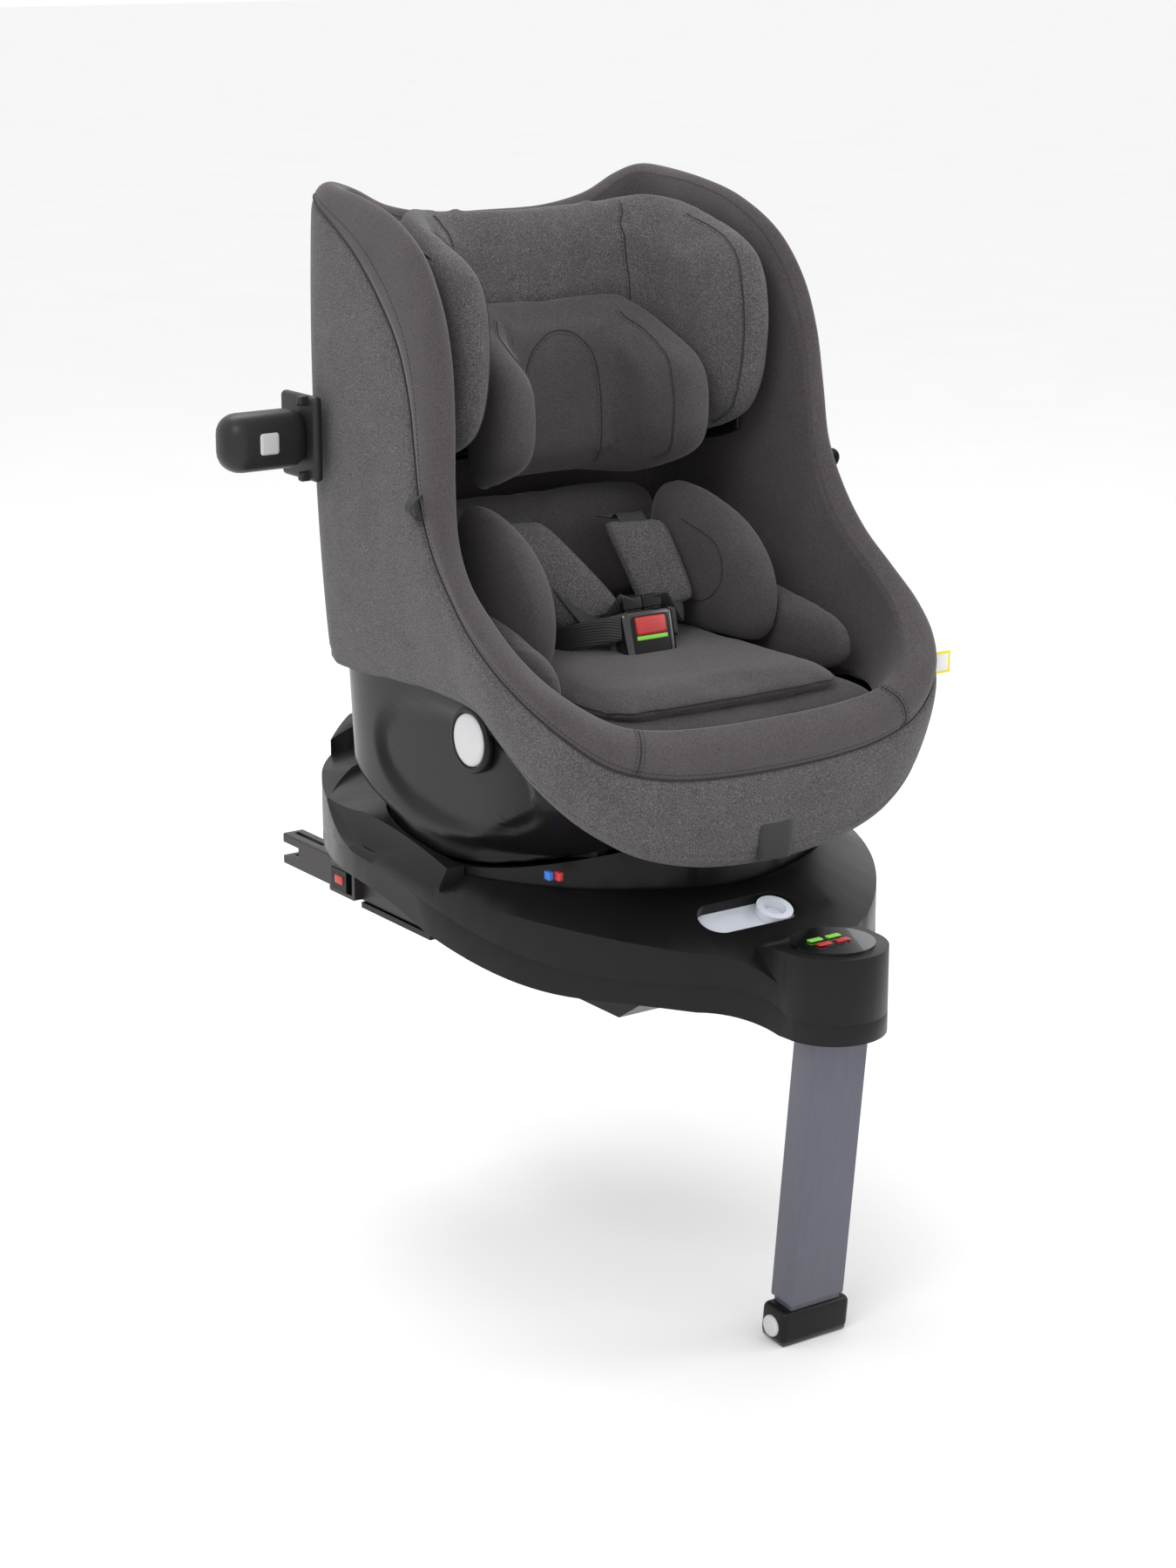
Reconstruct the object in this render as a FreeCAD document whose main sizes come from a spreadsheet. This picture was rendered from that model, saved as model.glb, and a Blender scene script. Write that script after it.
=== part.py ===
import FreeCAD, Part
import Sketcher
import math
import os
import re

from FreeCAD import Placement, Rotation, Vector

# A swivelling convertible car seat on its ISOFIX base with a support leg.
# Millimetres. +Z is up, -Y is where a forward-facing child looks, +X is the child's left.
# The origin is on the swivel axis, level with the flat underside of the base.

SIZES = {
    # base housing
    "base_half_width": 228,
    "base_rear": 320,
    "base_wall": 5,
    "nose_reach": 340,
    "nose_radius": 49,
    "nose_top": 88,
    "nose_low": 10,
    "belly_half_width": 120,
    "belly_rear": 250,
    "well_radius": 207,
    "well_floor": 72,
    "deck_rear_height": 137,
    "tail_height": 186,
    "skirt_sweep_radius": 262,
    "corner_sweep_radius": 303,
    "channel_half_width": 54,
    "channel_height": 67,
    "channel_rear": 152,
    "leg_slot_half_width": 33,
    "screw_radius": 4,
    # swivel bearing and turntable
    "race_inner_radius": 150,
    "race_outer_radius": 180,
    "race_lip": 6,
    "race_height": 12,
    "race_gap": 0.3,
    "running_gap": 0.05,
    "turntable_radius": 204,
    "turntable_plate": 4,
    "turntable_wall": 6,
    "turntable_top": 200,
    # recline arc
    "recline_y": -20,
    "recline_z": 560,
    "cradle_radius": 440.5,
    "seat_arc_radius": 436,
    "rail_radius": 430,
    "rail_offset": 110,
    "rail_width": 12,
    "rail_gap": 0.5,
    # support leg
    "pivot_y": -345,
    "pivot_z": 40,
    "leg_lean": 6,
    "leg_width": 60,
    "leg_depth": 30,
    "leg_wall": 2,
    "leg_tube_top": 20,
    "leg_tube_length": 292,
    "inner_tube_top": 110,
    "inner_tube_end": 318,
    "telescope_gap": 0.4,
    "pin_radius": 5,
    "foot_width": 80,
    "foot_depth": 42,
    "foot_top": 300,
    "foot_end": 330,
    "foot_button_radius": 10,
    "foot_button_travel": 3,
    # ISOFIX arms
    "arm_gauge": 140,
    "arm_width": 24,
    "arm_height": 32,
    "arm_low": 14,
    "arm_tip": 350,
    "arm_root": 70,
    "guide_rear": 195,
    "guide_front": 70,
    "guide_lip": 5.7,
    "guide_gap": 0.3,
    "jaw_depth": 30,
    "jaw_height": 14,
    "hook_width": 5,
    "hook_pin_radius": 2.5,
    # orientation ring and labels on the deck
    "recess_length": 104,
    "recess_width": 38,
    "recess_depth": 8,
    "recess_x": -18,
    "recess_y": -242,
    "recess_z": 91,
    "recess_tilt": 21,
    "ring_outer_radius": 17,
    "ring_inner_radius": 10.5,
    "ring_height": 8,
    "ring_travel": 46,
    "indicator_radius": 37.5,
    # seat plan and rim
    "seat_half_width": 224,
    "seat_front": 257,
    "seat_rear": 209,
    "rim_top": 712,
    "cover_thickness": 5.7,
    "shell_thickness": 6,
    "rim_roll": 32,
    "soft_gap": 0.3,
    "lining_thickness": 20,
    # lower shell and seat pan
    "lower_shell_top": 287.7,
    "lower_shell_wall": 6,
    "lower_shell_low_half": 203,
    "lower_shell_high_half": 213,
    "lower_shell_floor": 12,
    "flange_low": 288,
    "pan_half_width": 188,
    "pan_front": 222,
    "pan_rear": 176,
    "pan_low": 225,
    "hem_front": 140,
    "spin_button_y": -92,
    "spin_button_z": 248,
    "spin_button_radius": 24,
    "spin_button_travel": 5,
    # cushions
    "cushion_top": 262,
    "insert_half_width": 132,
    "insert_top": 278,
    "insert_front": 210,
    "bolster_inner": 82,
    "bolster_outer": 160,
    "back_pad_half_width": 150,
    # harness
    "webbing_width": 38,
    "webbing_thickness": 1.8,
    "pad_thickness": 13,
    "shoulder_pad_width": 56,
    "buckle_width": 58,
    "buckle_height": 54,
    "buckle_depth": 26,
    "buckle_y": -70,
    "buckle_button_travel": 4,
    # headrest
    "headrest_half_width": 172,
    "headrest_back": 164,
    "headrest_wall": 4,
    "headrest_opening": 104,
    "head_insert_opening": 66,
    "guide_bar_x": 66,
    # side impact pods
    "pod_pivot_x": 238,
    "pod_pivot_y": 132,
    "pod_low": 459,
    "pod_height": 54,
    "pod_length": 82,
    "pod_depth": 38,
    "pod_offset": 4,
    "pod_pin_radius": 3,
    "pod_button_size": 20,
    "pod_button_travel": 3,
    "socket_thickness": 6,
}

doc = FreeCAD.newDocument("car_seat")
sizes = doc.addObject("Spreadsheet::Sheet", "sizes")
for row, (alias, number) in enumerate(SIZES.items(), start=1):
    sizes.set("A%d" % row, alias)
    sizes.set("B%d" % row, str(number))
    sizes.setAlias("B%d" % row, alias)
doc.recompute()

SIDES = (("left", 1), ("right", -1))
parts = []


# ---------------------------------------------------------------- sheet and document helpers

def val(alias):
    """The current number in the sheet's cell."""
    return float(sizes.get(alias))


def bind(obj, prop, formula):
    """Drive a property by a formula whose words are the sheet's aliases."""
    def prefixed(match):
        word = match.group(0)
        return "sizes." + word if word in SIZES else word
    obj.setExpression(prop, re.sub(r"[A-Za-z_]+", prefixed, formula))


def locate(obj, x="0", y="0", z="0", rotation=None):
    """Bind an object's position, with an optional fixed turn."""
    if rotation is not None:
        obj.Placement = Placement(Vector(), rotation)
    for axis, formula in (("x", x), ("y", y), ("z", z)):
        bind(obj, "Placement.Base." + axis, formula)
    return obj


def keep(obj, label):
    """Register an object as a sub-part and give it its file's name."""
    obj.Label = label
    parts.append(obj)
    return obj


def box(name, length, width, height, x="0", y="0", z="0"):
    solid = doc.addObject("Part::Box", name)
    bind(solid, "Length", length)
    bind(solid, "Width", width)
    bind(solid, "Height", height)
    return locate(solid, x, y, z)


def cylinder(name, radius, height, x="0", y="0", z="0", rotation=None):
    solid = doc.addObject("Part::Cylinder", name)
    bind(solid, "Radius", radius)
    bind(solid, "Height", height)
    return locate(solid, x, y, z, rotation)


def cut(name, base, tool):
    result = doc.addObject("Part::Cut", name)
    result.Base = base
    result.Tool = tool
    return result


def fuse(name, *shapes):
    result = doc.addObject("Part::MultiFuse", name)
    result.Shapes = list(shapes)
    return result


def shaped(label, shape):
    """A sub-part whose free form comes from Part's own functions."""
    feature = doc.addObject("Part::Feature", label)
    feature.Shape = shape
    return keep(feature, label)


def origin_plane(body, role):
    return next(o for o in body.Origin.OriginFeatures if o.Role == role)


def new_body(name):
    return doc.addObject("PartDesign::Body", name)


def new_sketch(body, name, role="XY_Plane"):
    sketch = body.newObject("Sketcher::SketchObject", name)
    sketch.AttachmentSupport = [(origin_plane(body, role), "")]
    sketch.MapMode = "FlatFace"
    return sketch


def centred_rectangle(sketch, width, depth):
    """A rectangle about the sketch's origin, with its two sizes bound."""
    first = sketch.GeometryCount
    corners = [Vector(-1, -1), Vector(1, -1), Vector(1, 1), Vector(-1, 1)]
    for i in range(4):
        sketch.addGeometry(Part.LineSegment(corners[i], corners[(i + 1) % 4]), False)
    for i in range(4):
        sketch.addConstraint(Sketcher.Constraint("Coincident", first + i, 2, first + (i + 1) % 4, 1))
    for i in (0, 2):
        sketch.addConstraint(Sketcher.Constraint("Horizontal", first + i))
    for i in (1, 3):
        sketch.addConstraint(Sketcher.Constraint("Vertical", first + i))
    sketch.addConstraint(Sketcher.Constraint("Symmetric", first, 1, first + 2, 1, -1, 1))
    wide = sketch.addConstraint(Sketcher.Constraint("DistanceX", first, 1, first, 2, 2))
    deep = sketch.addConstraint(Sketcher.Constraint("DistanceY", first + 1, 1, first + 1, 2, 2))
    bind(sketch, "Constraints[%d]" % wide, width)
    bind(sketch, "Constraints[%d]" % deep, depth)


def centred_circle(sketch, radius):
    circle = sketch.addGeometry(Part.Circle(Vector(), Vector(0, 0, 1), 1), False)
    sketch.addConstraint(Sketcher.Constraint("Coincident", circle, 3, -1, 1))
    number = sketch.addConstraint(Sketcher.Constraint("Radius", circle, 1))
    bind(sketch, "Constraints[%d]" % number, radius)


def padded(body, sketch, length, name="Pad"):
    pad = body.newObject("PartDesign::Pad", name)
    pad.Profile = sketch
    bind(pad, "Length", length)
    return pad


def disc_body(label, radii, height, x="0", y="0", z="0", rotation=None):
    """A padded disc, or a ring when two radii are given."""
    body = new_body(label)
    sketch = new_sketch(body, label + "_outline")
    for radius in radii:
        centred_circle(sketch, radius)
    padded(body, sketch, height)
    return locate(body, x, y, z, rotation)


# ---------------------------------------------------------------- free-form helpers

def run_edges(points, lift):
    """Edges through the points: a line for two, a smooth curve for more."""
    vectors = [lift(*p) for p in points]
    if len(vectors) == 2:
        return [Part.makeLine(vectors[0], vectors[1])]
    curve = Part.BSplineCurve()
    curve.interpolate(vectors)
    return [curve.toShape()]


def closed_face(runs, lift):
    """A flat face bounded by runs of points; each run starts where the last one ended."""
    edges = []
    for run in runs:
        edges += run_edges(run, lift)
    if (runs[-1][-1][0] - runs[0][0][0]) ** 2 + (runs[-1][-1][1] - runs[0][0][1]) ** 2 > 1e-6:
        edges += run_edges([runs[-1][-1], runs[0][0]], lift)
    return Part.Face(Part.Wire(edges))


def side_slab(runs, low, high):
    """A solid with a side-view outline of (y, z) points between two x planes."""
    face = closed_face(runs, lambda y, z: Vector(low, y, z))
    return face.extrude(Vector(high - low, 0, 0))


def front_slab(runs, low, high):
    """A solid with a front-view outline of (x, z) points between two y planes."""
    face = closed_face(runs, lambda x, z: Vector(x, low, z))
    return face.extrude(Vector(0, high - low, 0))


def plan_slab(runs, low, high):
    """A solid with a plan outline of (x, y) points between two z planes."""
    face = closed_face(runs, lambda x, y: Vector(x, y, low))
    return face.extrude(Vector(0, 0, high - low))


def block(x0, x1, y0, y1, z0, z1):
    return Part.makeBox(x1 - x0, y1 - y0, z1 - z0, Vector(x0, y0, z0))


def drum(radius, low, high):
    """A cylinder on the swivel axis."""
    return Part.makeCylinder(radius, high - low, Vector(0, 0, low))


def cross_drum(radius, half_length, y, z):
    """A cylinder along X, centred on x = 0."""
    return Part.makeCylinder(radius, 2 * half_length, Vector(-half_length, y, z), Vector(1, 0, 0))


def turned(profile):
    """A solid of revolution about the swivel axis from (radius, z) corners."""
    wire = Part.makePolygon([Vector(r, 0, z) for r, z in profile + profile[:1]])
    return Part.Face(wire).revolve(Vector(), Vector(0, 0, 1), 360)


def mirrored(shape, side):
    return shape if side > 0 else shape.mirror(Vector(), Vector(1, 0, 0))


def both_sides(shape):
    return Part.makeCompound([shape, mirrored(shape, -1)])


def rounded(shape, radius, chosen=lambda edge: True):
    edges = [edge for edge in shape.Edges if chosen(edge)]
    return shape.makeFillet(radius, edges)


def lies_along(direction):
    """Chooses straight edges that run along a direction."""
    def chosen(edge):
        if not isinstance(edge.Curve, Part.Line):
            return False
        return abs(edge.Curve.Direction.dot(direction)) > 0.999
    return chosen


# ---------------------------------------------------------------- base housing

base_half = val("base_half_width")
base_rear = val("base_rear")
base_wall = val("base_wall")
nose_y = -val("nose_reach")
nose_radius = val("nose_radius")
well_radius = val("well_radius")
well_floor = val("well_floor")
far = 600.0


def base_wire(inset=0.0):
    """The plan outline of the base: a broad disc that runs into a round nose."""
    half = base_half
    left = [
        Part.Arc(Vector(half, 60), Vector(half - 40, 208), Vector(half - 128, base_rear - 17)),
        Part.Arc(Vector(half - 128, base_rear - 17), Vector(0, base_rear), Vector(128 - half, base_rear - 17)),
        Part.Arc(Vector(128 - half, base_rear - 17), Vector(40 - half, 208), Vector(-half, 60)),
        Part.LineSegment(Vector(-half, 60), Vector(-half, -40)),
        Part.Arc(Vector(-half, -40), Vector(46 - half, -175), Vector(133 - half, nose_y + 68)),
        Part.Arc(Vector(133 - half, nose_y + 68), Vector(-nose_radius - 9, nose_y + 34), Vector(-nose_radius, nose_y)),
        Part.Arc(Vector(-nose_radius, nose_y), Vector(0, nose_y - nose_radius), Vector(nose_radius, nose_y)),
        Part.Arc(Vector(nose_radius, nose_y), Vector(nose_radius + 9, nose_y + 34), Vector(half - 133, nose_y + 68)),
        Part.Arc(Vector(half - 133, nose_y + 68), Vector(half - 46, -175), Vector(half, -40)),
        Part.LineSegment(Vector(half, -40), Vector(half, 60)),
    ]
    wire = Part.Wire([curve.toShape() for curve in left])
    if inset:
        wire = wire.makeOffset2D(-inset, 0, False, False, True)
    return wire


def base_prism(low, high, inset=0.0):
    wire = base_wire(inset)
    wire.translate(Vector(0, 0, low))
    return Part.Face(wire).extrude(Vector(0, 0, high - low))


front_end = nose_y - nose_radius - 20
nose_low = val("nose_low")
rear_end = base_rear + 20
edge_line = [(nose_y + 10, nose_low), (nose_y + 51, 20), (-240, 28), (-183, 30), (-95, 46), (20, 73), (90, 80)]
seam_line = [(nose_y, 30), (nose_y + 50, 46), (-230, 50), (-175, 56), (-112, 70), (-50, 86), (17, 98), (90, 104)]
deck_line = [(front_end, val("nose_top")), (nose_y + 25, val("nose_top"))]
deck_slope = [(nose_y + 25, val("nose_top")), (nose_y + 60, 82), (-255, 88), (-207, 109), (-150, 113),
              (-46, 125), (40, 135), (100, val("deck_rear_height"))]
tail_line = [(100, val("deck_rear_height")), (190, val("deck_rear_height") + 3), (262, 158), (rear_end, val("tail_height"))]


def shifted(points, rise):
    return [(y, z + rise) for y, z in points]


def band(low_runs, high_runs):
    """The side-view slab between a lower and an upper line, both given front to rear."""
    backward = [list(reversed(run)) for run in reversed(high_runs)]
    start, end = low_runs[-1][-1], backward[0][0]
    closing = [[start, end]] if start != end else []
    return side_slab(low_runs + closing + backward, -far / 2, far / 2)


seam_runs = [[(front_end, 28), (nose_y, 30)], seam_line, [(90, 104), (rear_end, 104)]]
edge_runs = [[(front_end, nose_low), (nose_y + 10, nose_low)], edge_line, [(90, 80), (rear_end, 86)]]
top_runs = [deck_line, deck_slope, tail_line]


def lowered(runs, fall):
    return [shifted(run, -fall) for run in runs]


belly_half = val("belly_half_width")
channel_half = val("channel_half_width")
slot_half = val("leg_slot_half_width")
pivot_y, pivot_z = val("pivot_y"), val("pivot_z")


def leg_space():
    """The underside channel that the folded leg swings into, with the foot's wider bay."""
    slot = block(-slot_half, slot_half, pivot_y - 24, val("channel_rear"), -1, val("channel_height"))
    bay = block(-channel_half, channel_half, -82, val("channel_rear"), -1, val("channel_height"))
    knuckle = cross_drum(24, slot_half, pivot_y, pivot_z)
    return slot.fuse([bay, knuckle])


screw_places = [(side * (belly_half - 22), y) for side in (-1, 1) for y in (-150, 0, 170)]


def screw_set(low, high):
    """Short cylinders at the belly's screw places."""
    screws = [Part.makeCylinder(val("screw_radius"), high - low, Vector(x, y, low)) for x, y in screw_places]
    return Part.makeCompound(screws)


def base_tray():
    """The lower tray: a flared dish with a flat-bottomed belly and the leg channel."""
    dish = base_prism(-1, 140).common(band(edge_runs, seam_runs))
    hollow = base_prism(-1, 150, base_wall).common(band(lowered(edge_runs, -base_wall), lowered(seam_runs, -5)))
    hollow = hollow.cut(block(-far, far, -far, nose_y + 45, -1, 200))
    belly = side_slab([[(nose_y + 150, 0), (val("belly_rear"), 0)], [(val("belly_rear"), 0), (val("belly_rear") + 25, 88)],
                       [(val("belly_rear") + 25, 88), (60, well_floor)], [(60, well_floor), (-190, well_floor)],
                       [(-190, well_floor), (nose_y + 80, 46)], [(nose_y + 80, 46), (nose_y + 150, 0)]],
                      -belly_half, belly_half)
    space = side_slab([[(nose_y + 152, base_wall), (val("belly_rear") - 8, base_wall)],
                       [(val("belly_rear") - 8, base_wall), (val("belly_rear") + 10, well_floor - base_wall)],
                       [(val("belly_rear") + 10, well_floor - base_wall), (-190, well_floor - base_wall)],
                       [(-190, well_floor - base_wall), (nose_y + 120, 40)],
                       [(nose_y + 120, 40), (nose_y + 152, base_wall)]],
                      -belly_half + base_wall, belly_half - base_wall)
    wall = base_wall - 1
    lining = block(-slot_half - wall, slot_half + wall, pivot_y - 10, -82, 0, well_floor)
    lining = lining.fuse(block(-channel_half - wall, channel_half + wall, -82 - wall, val("channel_rear") + wall, 0, well_floor))
    space = space.cut(lining)
    floor = drum(well_radius + 3, well_floor - base_wall, well_floor)
    belly = belly.cut(space).common(base_prism(-1, 140, base_wall / 2))
    solid = dish.cut(hollow).fuse([belly, floor])
    solid = solid.common(band([[(front_end, -1), (rear_end, -1)]], seam_runs))
    return solid.cut([drum(well_radius, well_floor, 200), leg_space(), screw_set(-1, base_wall + 1)]).removeSplitter()


def slot_frame():
    """Where the orientation slot lies on the deck's front slope."""
    return Placement(Vector(val("recess_x"), val("recess_y"), val("recess_z")),
                     Rotation(Vector(1, 0, 0), val("recess_tilt")))


def obround(length, width, low, high):
    """A flat slot-shaped solid along X about the origin."""
    half = (length - width) / 2
    radius = width / 2
    bar = block(-half, half, -radius, radius, low, high)
    ends = [Part.makeCylinder(radius, high - low, Vector(x, 0, low)) for x in (-half, half)]
    return bar.fuse(ends).removeSplitter()


def base_deck():
    """The dished top cover with the turntable's well, the raised tail and the nose."""
    outer = base_prism(0, 240).common(band(seam_runs, top_runs))
    hollow = base_prism(0, 240, base_wall).common(band(lowered(seam_runs, 5), lowered(top_runs, 5 * base_wall)))
    hollow = hollow.cut([drum(well_radius + base_wall, 0, 240), block(-far, far, -far, nose_y + 108, 0, 240)])
    hollow = hollow.common(block(-far, far, -far, 150, 0, 240))
    shoulder = front_slab([[(base_half + 2, 98), (base_half - 20, 138)], [(base_half - 20, 138), (base_half + 40, 260)],
                           [(base_half + 40, 260), (base_half + 40, 98)]], nose_y, 160)
    low_sweep = drum(val("skirt_sweep_radius"), val("deck_rear_height"), 240)
    high_sweep = drum(val("corner_sweep_radius"), val("deck_rear_height") + 8, 240)
    recess = obround(val("recess_length"), val("recess_width"), -val("recess_depth"), 30)
    recess.Placement = slot_frame()
    pin_hole = cross_drum(val("pin_radius"), nose_radius - 7, pivot_y, pivot_z)
    slope = [(well_radius, 114), (well_radius + 220, 14), (well_radius + 220, 300), (well_radius, 300)]
    apron = turned(slope)
    nose = Part.makeCylinder(nose_radius + 1, 300, Vector(0, nose_y, 0))
    nose = nose.fuse(block(-nose_radius - 1, nose_radius + 1, nose_y, nose_y + 46, 0, 300))
    apron = apron.common(block(-far, far, -far, -60, 0, 300)).cut(nose)
    solid = outer.cut([hollow, both_sides(shoulder), apron, low_sweep, high_sweep, drum(well_radius, well_floor, 240)])
    solid = solid.cut([leg_space(), pin_hole, recess])
    return max(solid.Solids, key=lambda s: s.Volume)


shaped("base_tray", base_tray())
shaped("base_deck", base_deck())


def slot_plate():
    """The plate in the orientation slot."""
    plate = obround(val("recess_length") - 0.6, val("recess_width") - 0.6, -val("recess_depth"), 1.5 - val("recess_depth"))
    plate.Placement = slot_frame()
    return plate


shaped("slot_plate", slot_plate())

panel = disc_body("indicator_panel", ["indicator_radius"], "2.4", y="-nose_reach", z="nose_top")
keep(panel, "indicator_panel")


def indicator_windows():
    """Two pill-shaped windows on the panel, one over the other."""
    top = val("nose_top") + 2.4
    pills = []
    for step in (-8, 8):
        pill = obround(24, 9, top, top + 0.6)
        pill.translate(Vector(-4, nose_y + step, 0))
        pills.append(pill)
    return Part.makeCompound(pills)


shaped("indicator_windows", indicator_windows())

pin_turn = Rotation(Vector(0, 1, 0), 90)
pin = disc_body("leg_pivot_pin", ["pin_radius"], "2*(nose_radius-7)", x="7-nose_radius", y="pivot_y", z="pivot_z",
                rotation=pin_turn)
keep(pin, "leg_pivot_pin")

shaped("base_screws", screw_set(1, base_wall))


# ---------------------------------------------------------------- swivel bearing

race_in, race_out = val("race_inner_radius"), val("race_outer_radius")
lower_race = drum(race_out, well_floor, well_floor + val("race_height"))
spigot = drum(race_in + val("race_lip"), well_floor, well_floor + 2 * val("race_height") - 4)
shaped("fixed_race", lower_race.fuse(spigot).cut(drum(race_in, 0, 200)).removeSplitter())

race = disc_body("turning_race", ["race_outer_radius", "race_inner_radius+race_lip+running_gap"],
                 "race_height-race_gap", z="well_floor+race_height+race_gap")
keep(race, "turning_race")

# ---------------------------------------------------------------- turntable

plate_low = well_floor + 2 * val("race_height")
recline_y, recline_z = val("recline_y"), val("recline_z")


def cradle_drum(radius, half_length=300.0):
    return cross_drum(radius, half_length, recline_y, recline_z)


def turntable():
    """A round carriage whose top is the saddle that the seat reclines in."""
    radius, wall, plate = val("turntable_radius"), val("turntable_wall"), val("turntable_plate")
    outer = drum(radius, plate_low, val("turntable_top")).cut(cradle_drum(val("cradle_radius")))
    inner = drum(radius - wall, plate_low + plate, val("turntable_top")).cut(cradle_drum(val("cradle_radius") + wall))
    ears = [block(x, x + 6, -216, -198, 138, 152) for x in (-48.3, 42.3)]
    solid = outer.cut([inner, drum(race_in - 10, plate_low - 1, plate_low + plate + 1)])
    solid = solid.fuse(ears).cut(drum(radius - wall, 137, 153).common(block(-60, 60, -200, -150, 137, 153)))
    return solid.cut(cross_drum(lever_pin + val("running_gap"), 47, lever_y, lever_z)).removeSplitter()


lever_y, lever_z, lever_pin = -210, 145, 2.5
shaped("turntable_carriage", turntable())


def recline_rails():
    """Two curved rails on the saddle."""
    ring = cradle_drum(val("cradle_radius")).cut(cradle_drum(val("rail_radius")))
    rails = []
    for side in (-1, 1):
        low = side * val("rail_offset") - val("rail_width") / 2
        slice_box = block(low, low + val("rail_width"), -150, 130, plate_low, 200)
        rails.append(ring.common(slice_box))
    return Part.makeCompound([rail.Solids[0] for rail in rails])


shaped("recline_rails", recline_rails())


def recline_lever():
    """The pull bar under the front lip, with its own stub pins."""
    bar = block(-42, 42, -236, lever_y + 5, lever_z - 3.5, lever_z + 3.5)
    bar = rounded(bar, 3, lies_along(Vector(1, 0, 0)))
    return bar.fuse(cross_drum(lever_pin, 46.5, lever_y, lever_z)).removeSplitter()


shaped("recline_lever", recline_lever())

# ---------------------------------------------------------------- seat outlines

seat_half = val("seat_half_width")
seat_front = -val("seat_front")
seat_rear = val("seat_rear")
gap = val("soft_gap")


def seat_prism(inset, low, high):
    """The seat's plan outline, moved inward, as a solid between two heights."""
    half, front, rear = seat_half, seat_front, seat_rear
    curves = [
        Part.LineSegment(Vector(half, -80), Vector(half, rear - 55)),
        Part.Arc(Vector(half, rear - 55), Vector(half - 16, rear - 16), Vector(half - 55, rear)),
        Part.LineSegment(Vector(half - 55, rear), Vector(55 - half, rear)),
        Part.Arc(Vector(55 - half, rear), Vector(16 - half, rear - 16), Vector(-half, rear - 55)),
        Part.LineSegment(Vector(-half, rear - 55), Vector(-half, -80)),
        Part.Arc(Vector(-half, -80), Vector(3 - half, front + 72), Vector(72 - half, front + 9)),
        Part.Arc(Vector(72 - half, front + 9), Vector(0, front), Vector(half - 72, front + 9)),
        Part.Arc(Vector(half - 72, front + 9), Vector(half - 3, front + 72), Vector(half, -80)),
    ]
    wire = Part.Wire([curve.toShape() for curve in curves])
    if inset:
        wire = wire.makeOffset2D(-inset, 0, False, False, True)
    wire.translate(Vector(0, 0, low))
    return Part.Face(wire).extrude(Vector(0, 0, high - low))


def seat_ring(outer, inner, low=100.0, high=760.0):
    return seat_prism(outer, low, high).cut(seat_prism(inner, low, high))


rim_top = val("rim_top")
# the rim's front edge and, behind it, the seam where the outer cover starts
rim_line = [(seat_rear + 20, rim_top), (seat_rear - 30, rim_top - 1), (90, rim_top - 20), (10, 652), (-34, 590), (-44, 525),
            (-42, 455), (-58, 402), (-115, 354), (-190, 312), (-236, 280), (seat_front - 8, 232)]
seam_behind = [(seat_rear + 20, rim_top - 7), (seat_rear - 8, rim_top - 9), (100, 652), (24, 590), (-8, 525), (-18, 462),
               (-38, 405), (-98, 350), (-180, 300), (-226, 258), (seat_front - 8, 226)]


def beyond(line, rise=0.0):
    """Everything in front of and above a rim line."""
    start, end = line[0], line[-1]
    raised = shifted(line, rise)
    corner = [(start[0], 900), (start[0], start[1] + rise)]
    return side_slab([raised, [raised[-1], (end[0] - 60, end[1] + rise)], [(end[0] - 60, end[1] + rise), (end[0] - 60, 900)],
                      [(end[0] - 60, 900), corner[0]]], -far / 2, far / 2)


past_rim = beyond(rim_line)
# the back's top edge dips between the two wings
dip = front_slab([[(-190, rim_top + 20), (-152, rim_top - 20), (-100, rim_top - 33), (0, rim_top - 37),
                   (100, rim_top - 33), (152, rim_top - 20), (190, rim_top + 20)]], 60, seat_rear + 60)
past_seam = beyond(seam_behind)
past_seam_low = beyond(seam_behind, -gap)

# ---------------------------------------------------------------- lower shell and seat shell


def lower_hull(shrink):
    """The tub below the hem: bounded by the recline arc, its leaning sides and the swivel's clearance."""
    floor = val("lower_shell_floor") if shrink else 0
    top = val("lower_shell_top") + (20 if shrink else 0)
    low_half = val("lower_shell_low_half") - shrink
    high_half = val("lower_shell_high_half") - shrink
    arc = cradle_drum(val("seat_arc_radius") - floor)
    wedge = front_slab([[(-low_half, 110), (low_half, 110)], [(low_half, 110), (high_half, 290)],
                        [(high_half, 290), (high_half, top + 40)], [(high_half, top + 40), (-high_half, top + 40)],
                        [(-high_half, top + 40), (-high_half, 290)]], -300, 300)
    profile = [(0, 100), (204 - shrink, 100), (204 - shrink, 142), (262 - shrink, 200), (300, 200), (300, 340), (0, 340)]
    hull = seat_prism(val("cover_thickness") + 4 + shrink, 100, top).common(wedge).common(arc).common(turned(profile))
    over_deck, far_out = val("deck_rear_height") + 1.5, 420
    leaned = turned([(0, 60), (204 - shrink, 60), (204 - shrink, over_deck), (262 - shrink, over_deck), (262 - shrink, 195),
                     (far_out, 195), (far_out, 420), (0, 420)])
    for angle in (6, 12, 18):
        turned_back = leaned.copy()
        turned_back.rotate(Vector(0, recline_y, recline_z), Vector(1, 0, 0), angle)
        hull = hull.common(turned_back)
    return hull


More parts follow.
